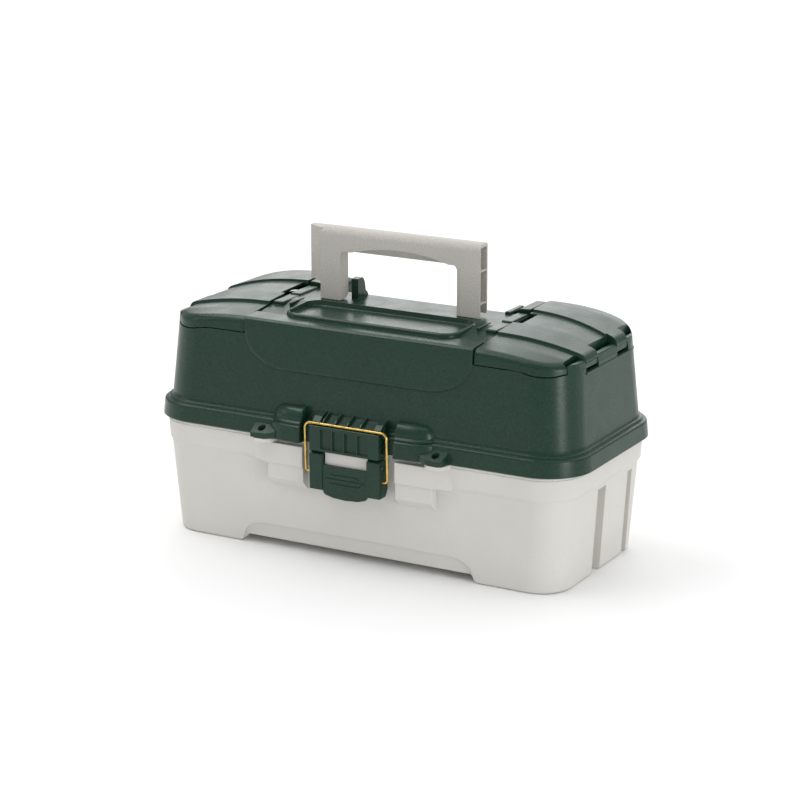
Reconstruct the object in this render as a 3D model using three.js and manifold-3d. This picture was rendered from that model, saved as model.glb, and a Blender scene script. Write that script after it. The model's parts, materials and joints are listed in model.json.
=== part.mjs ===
// Fishing tackle box: a drafted tub, a hinged lid with a flip-top bin at each end, three trays that
// rise on swinging arms as the lid opens, a wire draw latch and a folding carry handle.
// Millimetres, +X along the box, +Z up, the front faces -Y, origin under the middle of the feet.
import * as THREE from "three";
import { mergeVertices } from "three/addons/utils/BufferGeometryUtils.js";
import Module from "manifold-3d";

const wasm = await Module();
wasm.setup();

// ---- Driving dimensions ----
const GAP = 0.4; // between touching pieces
const WALL = 3; // moulded wall thickness
const ROOF = 4.6; // the middle of the lid's top, under the recessed panel
const PIN_FIT = 0.4; // hole radius minus pin radius

const FOOT = { halfX: 190.2, halfY: 82.2, radius: 28 }; // outline of the tub on the ground
const END_GROOVES = [{ y: [-15, 1], depth: 8.6 }, { y: [45, 54], depth: 5.4 }];
const LINING = 1.6; // wall round the end grooves, inside the tub
const TUB_TOP = 103.2;
const TUB_FLARE = 6.6; // how far each tub wall leans out over its full height
const RIM = { halfX: 200.5, halfY: 90.5, radius: 36, low: 81 };
const FLOOR_STEP = 7; // the middle of the tub stands this far off the ground
const FLOOR_THICK = 3;
const FOOT_INNER_X = 118; // inner edge of each end foot

const FLANGE = { halfX: 206.5, halfY: 92.1, radius: 40, top: 120.8, lean: 1.6 };
const LID_WALL = { halfX: 199, halfY: 85.5, radius: 36, low: 119, high: 214, lean: 7.4 };
const LID_BOTTOM = TUB_TOP + GAP;
const BIN_TOP = 187.7; // rim of the bins, where the bin lids sit
const BIN_FLOOR = 150.5;
const BIN_INNER_X = 110.6; // inner edge of the bin lids

// Profiles of the top, as [y, z] from front to rear.
const BIN_PROFILE = [
  [-95, 150], [-95, 186], [-79, 191], [-78, 197], [-73.5, 201], [-64, 203.3], [-38, 206.5], [-10, 208.6],
  [25, 210.3], [58, 212], [69, 210], [76, 204.5], [79, 197], [95, 190], [95, 150],
];
const CENTRE_PROFILE = [
  [-95, 150], [-95, 186], [-80, 191], [-78.5, 197], [-75, 200], [-58, 200.8], [-38, 203.6], [-18, 206.4],
  [26, 206.4], [52, 196.5], [72, 191], [79, 186], [95, 180], [95, 150],
];
// How the bin lids fall towards the ends of the box, as [x, z].
const CROWN = [
  [100, 213], [131, 212.6], [150, 210.5], [168, 206.6], [180, 202.5],
  [187, 198.5], [191, 194.5], [193.5, 189], [194.5, 178],
];
// The seam under a bin lid, as [x, drop below BIN_TOP]. It dips towards the end of the box.
const SEAM = [[BIN_INNER_X - 1, 0], [150, 0], [164, 3.2], [180, 3.4], [188, 0.6], [210, 0.6]];
const PANEL = { halfX: 84, front: -66, back: -17, top: 207.4, radius: 14, border: 5, floor: 203.6 };

const LID_PIVOT = { y: 97.5, z: 104, radius: 5, pin: 1.9 };
const LID_PIVOT_X = 108; // middle of each rear hinge
const BIN_PIVOT = { x: 189.2, z: 188.4, radius: 3.4, pin: 1.3 };
const BIN_PIN = [-56, 53]; // along Y
const BIN_STRAPS = [[-40.6, -17], [20.5, 42]]; // along Y, on the bin lid
const BIN_BLOCKS = [[-63, -41], [-16.6, 20.1], [42.4, 63]]; // along Y, on the lid

const LATCH = { halfX: 34.2, front: -101.4, low: 66, high: 97.4, sheet: 3, window: 22, sill: 88.6 };
const LATCH_PIVOT = { y: -95.5, z: 92, pin: 1.3 };
const BAIL = { halfX: 39.5, low: 80.4, top: 123.8, wire: 1.1, y: -97.3 };
const CATCH = { halfX: 33.5, low: 100.3, top: 122.2 };
const FRONT_LIMIT = -102.5; // foremost point of the latch, its ribs and the padlock ears
const LATCH_BAY = { halfX: 44, low: 62, back: -87.4 };
const HASP = { x: 84.3, y: -96, hole: 3.3, inner: 76, outer: 95 };

const HANDLE = { outer: 78, inner: 55.1, top: 270.6, grip: 250.5, arch: 6, front: -6.5, back: 7.5 };
const HANDLE_PIVOT = { y: 0.5, z: 214.9, pin: 1.5 };

const ARM_ANGLE = (35 * Math.PI) / 180; // above the horizontal, leaning to the front
const ARM_STEPS = [25, 73, 121]; // from the tub pivot to each tray pivot
const ARM_PIVOTS = [30.5, 53]; // y of the front and rear arms' tub pivots
const ARM_PIVOT_Z = 52.7;
const ARM = { inside: 174.6, thick: 3, halfWidth: 5 };
const RIVET = { shank: 2, head: 3.8, headThick: 1.3 };
const TRAY = { halfX: 172, front: -76, back: 40, height: 26, wall: 2, radius: 15, halfPivot: 13 };
const DIVIDER_X = [-86, 0, 86];
const DIVIDER_THICK = 1.6;

// ---- Materials ----
function finish(color, roughness, metalness = 0) {
  return new THREE.MeshStandardMaterial({ color, roughness, metalness });
}
const GREEN = finish(0x30463d, 0.55);
const PALE = finish(0xd6d3cc, 0.6);
const GREY = finish(0xc9c5bd, 0.65);
const TRAY_PLASTIC = finish(0xd9d7d0, 0.5);
const BRASS = finish(0xc9a23c, 0.3, 1);
const STEEL = finish(0x9a9c9e, 0.35, 1);

// ---- Solids and booleans ----
function solid(geometry) {
  const bare = geometry.index ? geometry.toNonIndexed() : geometry.clone();
  for (const name of Object.keys(bare.attributes)) if (name !== "position") bare.deleteAttribute(name);
  const merged = mergeVertices(bare, 1e-4);
  const mesh = new wasm.Mesh({
    numProp: 3,
    vertProperties: merged.attributes.position.array,
    triVerts: new Uint32Array(merged.index.array),
  });
  return new wasm.Manifold(mesh);
}

function geometryOf(manifold) {
  const mesh = manifold.getMesh();
  const geometry = new THREE.BufferGeometry();
  geometry.setAttribute("position", new THREE.BufferAttribute(mesh.vertProperties, 3));
  geometry.setIndex(new THREE.BufferAttribute(mesh.triVerts, 1));
  return geometry;
}

const join = (...parts) => parts.reduce((a, b) => a.add(b));
const cut = (body, ...tools) => tools.reduce((a, b) => a.subtract(b), body);

function box(x0, x1, y0, y1, z0, z1) {
  const geometry = new THREE.BoxGeometry(x1 - x0, y1 - y0, z1 - z0);
  return solid(geometry.translate((x0 + x1) / 2, (y0 + y1) / 2, (z0 + z1) / 2));
}

// The same box on the left and on the right.
const boxes = (x0, x1, ...rest) => join(box(x0, x1, ...rest), box(-x1, -x0, ...rest));

function roundedRect(halfX, halfY, radius) {
  const shape = new THREE.Shape();
  const corners = [[1, 1, 0], [-1, 1, 1], [-1, -1, 2], [1, -1, 3]];
  for (const [sx, sy, quarter] of corners) {
    const start = (quarter * Math.PI) / 2;
    shape.absarc(sx * (halfX - radius), sy * (halfY - radius), radius, start, start + Math.PI / 2, false);
  }
  return shape;
}

// A block on a rounded rectangle whose walls lean out by `lean` from z0 to z1.
function drafted(halfX, halfY, radius, z0, z1, lean, segments = 6) {
  const options = { depth: z1 - z0, bevelEnabled: false, curveSegments: segments };
  const geometry = new THREE.ExtrudeGeometry(roundedRect(halfX, halfY, radius), options).translate(0, 0, z0);
  const place = geometry.attributes.position;
  for (let i = 0; i < place.count; i++) {
    const out = (lean * (place.getZ(i) - z0)) / (z1 - z0);
    place.setX(i, place.getX(i) + Math.sign(place.getX(i)) * out);
    place.setY(i, place.getY(i) + Math.sign(place.getY(i)) * out);
  }
  return solid(geometry);
}

function extrude(points, depth) {
  const shape = new THREE.Shape(points.map(([a, b]) => new THREE.Vector2(a, b)));
  return new THREE.ExtrudeGeometry(shape, { depth, bevelEnabled: false });
}

// A prism along X from [y, z] points, and one along Y from [x, z] points.
const TO_X = new THREE.Matrix4().set(0, 0, 1, 0, 1, 0, 0, 0, 0, 1, 0, 0, 0, 0, 0, 1);
const alongX = (points, x0, x1) => solid(extrude(points, x1 - x0).applyMatrix4(TO_X).translate(x0, 0, 0));
const alongY = (points, y0, y1) => solid(extrude(points, y1 - y0).rotateX(Math.PI / 2).translate(0, y1, 0));

function rodX(x0, x1, y, z, radius, sides = 16) {
  const geometry = new THREE.CylinderGeometry(radius, radius, x1 - x0, sides).rotateZ(Math.PI / 2);
  return solid(geometry.translate((x0 + x1) / 2, y, z));
}

function rodY(y0, y1, x, z, radius, sides = 16) {
  return solid(new THREE.CylinderGeometry(radius, radius, y1 - y0, sides).translate(x, (y0 + y1) / 2, z));
}

function rodZ(z0, z1, x, y, radius, sides = 16) {
  const geometry = new THREE.CylinderGeometry(radius, radius, z1 - z0, sides).rotateX(Math.PI / 2);
  return solid(geometry.translate(x, y, (z0 + z1) / 2));
}

const SIDES = [["left", -1], ["right", 1]];
const span = (side, x0, x1) => (side > 0 ? [x0, x1] : [-x1, -x0]);

// ---- Tub ----
const tubLean = (z) => (TUB_FLARE * z) / TUB_TOP;

function tubShell() {
  const { halfX, halfY, radius } = FOOT;
  const wall = drafted(halfX, halfY, radius, 0, TUB_TOP, TUB_FLARE);
  const rim = drafted(RIM.halfX - 0.8, RIM.halfY - 0.8, RIM.radius, RIM.low, TUB_TOP, 0.8);
  const inner = drafted(halfX - WALL, halfY - WALL, radius - WALL, FLOOR_THICK, TUB_TOP + 1, TUB_FLARE);
  const raisedFloor = box(-FOOT_INNER_X - WALL, FOOT_INNER_X + WALL, -100, 100, 0, FLOOR_STEP + FLOOR_THICK);
  const arch = [[-118, -1], [-107, FLOOR_STEP], [107, FLOOR_STEP], [118, -1]];
  return cut(join(wall, rim), cut(inner, raisedFloor), alongY(arch, -100, 100));
}

// A shallow panel in the front, over the raised middle.
function tubPanel() {
  const panel = [[-112, 4], [-101, 15], [-91, 20.3], [91, 20.3], [101, 15], [112, 4]];
  const front = -FOOT.halfY - tubLean(12);
  return alongY(panel, front - 5, front + 1.5);
}

// The space of the upright grooves in both ends, or with `wall` the lining that closes them inside.
function endGrooves(wall) {
  const grooves = END_GROOVES.flatMap(({ y, depth }) => {
    const [low, high] = [3 - wall, 76 + wall];
    const [bottom, top] = [low, high].map((z) => FOOT.halfX + tubLean(z));
    const reach = wall > 0 ? -1 : 10;
    const outline = [
      [bottom - depth - wall, low], [bottom + reach, low], [top + reach, high], [top - depth - wall, high],
    ];
    const mirrored = outline.map(([x, z]) => [-x, z]).reverse();
    return [outline, mirrored].map((points) => alongY(points, y[0] - wall, y[1] + wall));
  });
  return join(...grooves);
}

function tubArmBosses() {
  const inner = ARM.inside + ARM.thick + GAP;
  const bosses = ARM_PIVOTS.flatMap((y) => SIDES.map(([, side]) => {
    const [x0, x1] = span(side, inner, FOOT.halfX + 1);
    return rodX(x0, x1, y, ARM_PIVOT_Z, 6);
  }));
  const holes = ARM_PIVOTS.flatMap((y) => SIDES.map(([, side]) => {
    const [x0, x1] = span(side, inner - 1, inner + 8);
    return rodX(x0, x1, y, ARM_PIVOT_Z, RIVET.shank + PIN_FIT);
  }));
  return { bosses: join(...bosses), holes: join(...holes) };
}

function haspHoles(z0, z1) {
  const holes = SIDES.map(([, side]) => rodZ(z0, z1, side * HASP.x, HASP.y, HASP.hole));
  return join(...holes);
}

function tubFront() {
  const bay = box(-LATCH_BAY.halfX, LATCH_BAY.halfX, -110, LATCH_BAY.back, LATCH_BAY.low, TUB_TOP + 1);
  const bracket = box(-21, 21, -97.8, LATCH_BAY.back + 2, 80, 99.6);
  const gusset = [[-95, 98], [-95, 66], [-84, 58], [-84, 98]];
  const gussets = SIDES.map(([, side]) => alongX(gusset, ...span(side, LATCH_BAY.halfX + 0.6, 82)));
  const ears = boxes(HASP.inner, HASP.outer, FRONT_LIMIT, -85, 97, TUB_TOP);
  return { bay, proud: join(bracket, ...gussets, ears) };
}

const rearKnuckle = (x0, x1, web) => join(rodX(x0, x1, LID_PIVOT.y, LID_PIVOT.z, LID_PIVOT.radius), web);
const rearPinHole = (x) => rodX(x - 40, x + 40, LID_PIVOT.y, LID_PIVOT.z, LID_PIVOT.pin + PIN_FIT);

function tub() {
  const front = tubFront();
  const arms = tubArmBosses();
  let body = cut(tubShell(), tubPanel(), front.bay);
  body = join(body, front.proud, arms.bosses, endGrooves(LINING));
  const latchHole = rodX(-30, 30, LATCH_PIVOT.y, LATCH_PIVOT.z, LATCH_PIVOT.pin + PIN_FIT);
  body = cut(body, arms.holes, haspHoles(90, 110), latchHole, endGrooves(0));
  for (const x of [-LID_PIVOT_X, LID_PIVOT_X]) {
    const web = box(x - 10, x + 10, 88, LID_PIVOT.y, 92, LID_PIVOT.z - 1);
    body = cut(join(body, rearKnuckle(x - 10, x + 10, web)), rearPinHole(x));
  }
  return body;
}

// ---- Lid ----
const lidBlock = (inset) => drafted(LID_WALL.halfX - inset, LID_WALL.halfY - inset, LID_WALL.radius - inset,
  LID_WALL.low, LID_WALL.high, -LID_WALL.lean);
const lower = (profile, drop) => profile.map(([a, z]) => [a, z - drop]);

// Everything over the seam between one bin and its lid.
function aboveSeam(side, gap) {
  const seam = SEAM.map(([x, drop]) => [x, BIN_TOP - drop + gap]);
  const outline = [[BIN_INNER_X - 1, 220], ...seam, [210, 220]];
  return alongY(outline.map(([x, z]) => [side * x, z]), -100, 100);
}

function lidWalls() {
  const block = lidBlock(0);
  const aboveCentre = box(-BIN_INNER_X, BIN_INNER_X, -100, 100, BIN_TOP, 220);
  const ends = cut(block, aboveSeam(1, 0), aboveSeam(-1, 0), aboveCentre);
  const centre = block.intersect(alongX(CENTRE_PROFILE, -BIN_INNER_X + GAP, BIN_INNER_X - GAP));
  const { halfX, halfY, radius, top, lean } = FLANGE;
  return join(drafted(halfX, halfY, radius, LID_BOTTOM, top, -lean), ends, centre);
}

// The raised, bordered panel in front of the handle, with the two ears that hold the handle upright.
function lidPanel() {
  const halfY = (PANEL.back + 42 - PANEL.front) / 2;
  const middle = PANEL.front + halfY;
  const slab = drafted(PANEL.halfX, halfY, PANEL.radius, 199, PANEL.top, -1.2, 4);
  const pocketHalfY = (PANEL.back - PANEL.front - PANEL.border) / 2;
  const pocketMiddle = PANEL.back - pocketHalfY;
  const { halfX, radius, border, floor } = PANEL;
  const pocket = drafted(halfX - border, pocketHalfY, radius - border, floor, 212, 0.8, 4);
  const ear = [[8, 200], [8, 221], [10, 224], [15, 224], [19, 219], [21, 208], [22, 200]];
  const ears = SIDES.map(([, side]) => alongX(ear, ...span(side, 50, HANDLE.inner - 0.6)));
  return join(cut(slab.translate([0, middle, 0]), pocket.translate([0, pocketMiddle, 0])), ...ears);
}

function lidHandleLugs() {
  const { y, z, pin } = HANDLE_PIVOT;
  const lugs = SIDES.map(([, side]) => {
    const [x0, x1] = span(side, 68, 74);
    const lug = join(box(x0, x1, y - 3, y + 3, 200, z), rodX(x0, x1, y, z, 3));
    return { lug, hole: rodX(x0 - 1, x1 + 1, y, z, pin + PIN_FIT, 12) };
  });
  return { lugs: join(...lugs.map((l) => l.lug)), holes: join(...lugs.map((l) => l.hole)) };
}

function lidHollow() {
  const { halfX, halfY, radius } = LID_WALL;
  const mouth = drafted(halfX - WALL, halfY - WALL, radius - WALL, LID_BOTTOM - 1, LID_WALL.low, 0);
  const inner = lidBlock(WALL);
  const under = inner.intersect(box(-210, 210, -100, 100, 110, BIN_FLOOR - 2.5));
  const centreRoof = alongX(lower(CENTRE_PROFILE, ROOF), -BIN_INNER_X + WALL, BIN_INNER_X - WALL);
  const bins = inner.intersect(boxes(BIN_INNER_X + 2, 205, -100, 100, BIN_FLOOR, 220));
  return join(mouth, under, inner.intersect(centreRoof), bins);
}

function lidCatch() {
  const { halfX, low, top } = CATCH;
  const block = box(-halfX, halfX, FRONT_LIMIT + 0.4, -84, low, top - GAP);
  const ribX = [-23.5, -11.8, 0, 12.5, 24];
  const fins = ribX.map((x) => alongX([[-96, 120], [-96, 126.5], [-83, 132], [-83, 120]], x - 1.2, x + 1.2));
  const pockets = ribX.slice(1).map(
    (x, i) => box(ribX[i] + 0.8, x - 0.8, FRONT_LIMIT - 1, -101, low + 1.8, top));
  const clearance = box(-halfX - 1, halfX + 1, -90.4, -80, 90, LID_BOTTOM);
  return cut(join(block, ...fins), clearance, ...pockets);
}

function lidFront() {
  const hump = [[-99, 104], [-99, 119], [-95, 125], [-84, 131], [-84, 104]];
  const humps = SIDES.map(([, side]) => alongX(hump, ...span(side, LATCH_BAY.halfX + 1, 78)));
  const ears = boxes(HASP.inner, HASP.outer, FRONT_LIMIT, -88, LID_BOTTOM, 110.4);
  return join(lidCatch(), ...humps, ears);
}

function binPinHole(side) {
  const { x, z, pin } = BIN_PIVOT;
  return rodY(BIN_PIN[0] - GAP, BIN_PIN[1] + GAP, side * x, z, pin + PIN_FIT, 12);
}

// Bin hinges: a notch for each strap of the bin lid, and a bored block between the straps.
function lidBinHinges(side) {
  const { x, z, radius } = BIN_PIVOT;
  const notches = BIN_STRAPS.map(([y0, y1]) => {
    const [x0, x1] = span(side, x - 6.3, x + 10);
    return box(x0, x1, y0 - GAP, y1 + GAP, z - radius - 2 * GAP, z + 10);
  });
  const blocks = BIN_BLOCKS.map(([y0, y1]) => {
    const [x0, x1] = span(side, x - radius, x + 3.2);
    return join(rodY(y0, y1, side * x, z, radius), box(x0, x1, y0, y1, z - 9, z));
  });
  const hole = binPinHole(side);
  return { notches: join(...notches), blocks: join(...blocks).intersect(lidBlock(0)), hole };
}

function lid() {
  let body = cut(join(lidWalls(), lidFront(), lidPanel()), lidHollow(), haspHoles(98, 116));
  const handle = lidHandleLugs();
  body = cut(join(body, handle.lugs), handle.holes);
  for (const [, side] of SIDES) {
    const hinge = lidBinHinges(side);
    body = cut(join(cut(body, hinge.notches), hinge.blocks), hinge.hole);
  }
  for (const x of [-LID_PIVOT_X, LID_PIVOT_X]) {
    for (const [x0, x1] of [[x - 24, x - 10 - GAP], [x + 10 + GAP, x + 24]]) {
      const web = box(x0, x1, 88, LID_PIVOT.y, LID_PIVOT.z + GAP, LID_PIVOT.z + 5);
      body = join(body, rearKnuckle(x0, x1, web));
    }
    body = cut(body, rearPinHole(x));
  }
  return body;
}

// ---- Bin lids ----
function binCover(side, drop) {
  const thick = drop > 0 ? 2.5 : 0;
  const reach = span(side, BIN_INNER_X + thick, 200);
  const top = lidBlock(thick).intersect(alongX(lower(BIN_PROFILE, drop), ...reach));
  const crown = [[90, 170], ...lower(CROWN, drop), [194, 170]].map(([x, z]) => [side * x, z]);
  const ordered = side > 0 ? crown : crown.reverse();
  return top.intersect(alongY(ordered, -100, 100));
}

function binLid(side) {
  const { x, z, radius } = BIN_PIVOT;
  const end = box(...span(side, x + 2.4, x + 20), -100, 100, 170, z + 3);
  let body = cut(binCover(side, 0).intersect(aboveSeam(side, GAP)), binCover(side, 2.5), end);
  const [clearX0, clearX1] = span(side, x - radius - 1.4, x + 20);
  for (const [y0, y1] of BIN_BLOCKS) body = cut(body, box(clearX0, clearX1, y0 - GAP, y1 + GAP, 170, z + 12));
  for (const [y0, y1] of BIN_STRAPS) {
    const [x0, x1] = span(side, x - radius, x + 2);
    body = join(body, rodY(y0, y1, side * x, z, radius), box(x0, x1, y0, y1, z, z + 5));
  }
  return cut(body, binPinHole(side));
}

// ---- Handle ----
// A shallow arch scooped out of the lower front edge of the grip.
function gripScoop() {
  const { inner, grip, arch, front, back } = HANDLE;
  const arc = Array.from({ length: 13 }, (_, i) => (i - 6) / 6);
  const outline = arc.map((t) => [t * (inner - 3), grip - 1 + (arch + 1) * (1 - t * t)]);
  const end = front + 4;
  const slope = [[front - 1, grip - 2], [end, grip - 2], [end, grip], [front - 1, grip + arch + 1]];
  return alongY(outline, front - 1, back).intersect(alongX(slope, -inner, inner));
}

function handle() {
  const { outer, inner, top, grip, front, back } = HANDLE;
  const { y, z, pin } = HANDLE_PIVOT;
  const half = (back - front) / 2;
  const frame = box(-outer, outer, front, back, z, top);
  const corner = 3;
  const opening = [
    [-inner, 190], [inner, 190], [inner, grip - corner], [inner - corner, grip],
    [corner - inner, grip], [-inner, grip - corner],
  ];
  const feet = SIDES.flatMap(([, side]) => {
    const [x0, x1] = span(side, inner, outer);
    return [rodX(x0, x1, y, z, half, 20), box(x0, x1, front, y, z - half, z)];
  });
  const wing = new THREE.Shape([[-outer, front], [-outer, back], [-92, back], [-92, 1.5]]
    .map(([a, b]) => new THREE.Vector2(a, b)));
  const wingLow = 222;
  const wingBlock = new THREE.ExtrudeGeometry(wing, { depth: top - wingLow, bevelEnabled: false });
  let body = cut(join(frame, ...feet), alongY(opening, front - 1, back + 1), gripScoop());
  for (const [, side] of SIDES) {
    const foot = box(...span(side, 66.5, outer + 1), front + 2, back + 1, z - 10, z + 7.6);
    body = cut(body, foot, rodX(...span(side, 58, 70), y, z, pin + PIN_FIT, 12));
  }
  for (const [z0, z1] of [[225, 246], [249, 265]]) {
    body = cut(body, box(66.5, outer + 1, front + 2, back - 2, z0, z1));
  }
  return join(body, solid(wingBlock.translate(0, 0, wingLow)));
}

// ---- Latch ----
function latchLever() {
  const { halfX, front, low, high, sheet, window, sill } = LATCH;
  const { y, z, pin } = LATCH_PIVOT;
  const plate = box(-halfX, halfX, front, front + sheet, low, high);
  const cheek = [
    [front + 1, low], [-90, low], [-88, low + 3], [-88, 84], [y + 4, high - 1.4], [front + 1, high - 1.4],
  ];
  const cheeks = SIDES.map(([, side]) => alongX(cheek, ...span(side, halfX - sheet, halfX)));
  const tab = box(-20, 20, FRONT_LIMIT + 0.2, front + 2, 60, low + 2);
  const notch = box(-window, window, front - 1, front + sheet + 1, sill, high + 1);
  const pinHole = rodX(-40, 40, y, z, pin + PIN_FIT);
  const bailHole = rodX(-40, 40, BAIL.y, BAIL.low, BAIL.wire + PIN_FIT, 12);
  return cut(join(plate, ...cheeks, tab), notch, pinHole, bailHole);
}

// A wire hoop: two legs hooked into the lever's cheeks and a bar across the catch.
function latchBail() {
  const { halfX, low, top, wire, y } = BAIL;
  const bend = 4;
  const corners = [[-31.6, low], [-halfX, low], [-halfX, top], [halfX, top], [halfX, low], [31.6, low]]
    .map(([x, z]) => new THREE.Vector3(x, y, z));
  const path = new THREE.CurvePath();
  let from = corners[0];
  for (let i = 1; i < corners.length - 1; i++) {
    const corner = corners[i];
    const into = corner.clone().add(from.clone().sub(corner).setLength(bend));
    const out = corner.clone().add(corners[i + 1].clone().sub(corner).setLength(bend));
    path.add(new THREE.LineCurve3(from, into));
    path.add(new THREE.QuadraticBezierCurve3(into, corner, out));
    from = out;
  }
  path.add(new THREE.LineCurve3(from, corners.at(-1)));
  const section = new THREE.Shape().absarc(0, 0, wire, 0, 2 * Math.PI);
  return solid(new THREE.ExtrudeGeometry(section, { steps: 60, curveSegments: 4, extrudePath: path }));
}

// ---- Trays and arms ----
const trayFloor = (level) => ARM_PIVOT_Z + ARM_STEPS[level] * Math.sin(ARM_ANGLE) - TRAY.halfPivot;
const trayPivotY = (pivotY, level) => pivotY - ARM_STEPS[level] * Math.cos(ARM_ANGLE);

// Two small ribs on each long wall hold each divider upright.
function dividerRibs(floor) {
  const { front, back, wall, height } = TRAY;
  const offset = DIVIDER_THICK / 2 + GAP;
  return DIVIDER_X.flatMap((x) => [-offset - 1.4, offset].flatMap((dx) => [
    box(x + dx, x + dx + 1.4, front + wall / 2, front + wall + 2.5, floor + 1, floor + height - 3),
    box(x + dx, x + dx + 1.4, back - wall - 2.5, back - wall / 2, floor + 1, floor + height - 3),
  ]));
}

function tray(level) {
  const { halfX, front, back, height, wall, radius } = TRAY;
  const floor = trayFloor(level);
  const halfY = (back - front) / 2;
  const middle = (back + front) / 2;
  const outside = drafted(halfX, halfY, radius, floor, floor + height, 0, 4).translate([0, middle, 0]);
  const inside = drafted(halfX - wall, halfY - wall, radius - wall, floor + wall, floor + height + 1, 0, 4);
  const holes = ARM_PIVOTS.map((pivot) => rodX(-halfX - 1, halfX + 1, trayPivotY(pivot, level),
    floor + TRAY.halfPivot, RIVET.shank + PIN_FIT, 12));
  return cut(join(cut(outside, inside.translate([0, middle, 0])), ...dividerRibs(floor)), ...holes);
}

function divider(level, x) {
  const floor = trayFloor(level);
  const inset = TRAY.wall + GAP;
  return box(x - DIVIDER_THICK / 2, x + DIVIDER_THICK / 2, TRAY.front + inset, TRAY.back - inset,
    floor + inset, floor + TRAY.height - 1);
}

function arm(side, pivotY) {
  const [x0, x1] = span(side, ARM.inside, ARM.inside + ARM.thick);
  const length = ARM_STEPS.at(-1);
  const bar = box(x0, x1, -length, 0, -ARM.halfWidth, ARM.halfWidth);
  const ends = [0, -length].map((y) => rodX(x0, x1, y, 0, ARM.halfWidth));
  const holes = [0, ...ARM_STEPS].map((step) => rodX(x0 - 1, x1 + 1, -step, 0, RIVET.shank + PIN_FIT, 12));
  const flat = cut(join(bar, ...ends), ...holes);
  return flat.rotate([(-ARM_ANGLE * 180) / Math.PI, 0, 0]).translate([0, pivotY, ARM_PIVOT_Z]);
}

// A headed rivet: the shank runs from x0 to x1 and the head is past x1.
function rivet(side, x0, x1, y, z, headOutside) {
  const head = headOutside ? [x1 - 0.1, x1 + RIVET.headThick] : [x0 - RIVET.headThick, x0 + 0.1];
  const shank = rodX(...span(side, x0, x1), y, z, RIVET.shank, 12);
  return join(shank, rodX(...span(side, ...head), y, z, RIVET.head, 12));
}

// ---- Assembly ----
const tackleBox = new THREE.Group();
const add = (name, manifold, material) => {
  const mesh = new THREE.Mesh(geometryOf(manifold), material);
  mesh.name = name;
  tackleBox.add(mesh);
};

add("base_tub", tub(), PALE);
add("lid_shell", lid(), GREEN);
add("carry_handle", handle(), GREY);
add("latch_lever", latchLever(), GREEN);
add("latch_bail", latchBail(), BRASS);
add("latch_pin", rodX(-33.8, 33.8, LATCH_PIVOT.y, LATCH_PIVOT.z, LATCH_PIVOT.pin), STEEL);

for (const [name, side] of SIDES) {
  const pinX = span(side, 58.4, 75);
  add(`bin_lid_${name}`, binLid(side), GREEN);
  add(`bin_hinge_pin_${name}`, rodY(...BIN_PIN, side * BIN_PIVOT.x, BIN_PIVOT.z, BIN_PIVOT.pin, 12), STEEL);
  add(`handle_pin_${name}`, rodX(...pinX, HANDLE_PIVOT.y, HANDLE_PIVOT.z, HANDLE_PIVOT.pin, 12), STEEL);
  const hingePin = rodX(LID_PIVOT_X - 23, LID_PIVOT_X + 23, LID_PIVOT.y, LID_PIVOT.z, LID_PIVOT.pin);
  add(`lid_hinge_pin_${name}`, side > 0 ? hingePin : hingePin.translate([-2 * LID_PIVOT_X, 0, 0]), STEEL);
}

const LEVELS = ["lower", "middle", "upper"];
LEVELS.forEach((level, i) => {
  add(`${level}_tray`, tray(i), TRAY_PLASTIC);
  ["left", "middle", "right"].forEach((place, j) => {
    add(`${level}_tray_divider_${place}`, divider(i, DIVIDER_X[j]), TRAY_PLASTIC);
  });
});

const armOutside = ARM.inside + ARM.thick;
for (const [name, side] of SIDES) {
  ["front", "rear"].forEach((place, i) => {
    const pivotY = ARM_PIVOTS[i];
    add(`${place}_arm_${name}`, arm(side, pivotY), STEEL);
    const tubRivet = rivet(side, ARM.inside - GAP, armOutside + 7, pivotY, ARM_PIVOT_Z, false);
    add(`tub_rivet_${place}_${name}`, tubRivet, STEEL);
    LEVELS.forEach((level, k) => {
      const height = trayFloor(k) + TRAY.halfPivot;
      const trayRivet = rivet(side, TRAY.halfX - 4, armOutside + GAP, trayPivotY(pivotY, k), height, true);
      add(`${level}_tray_rivet_${place}_${name}`, trayRivet, STEEL);
    });
  });
}

export default tackleBox;
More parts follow.
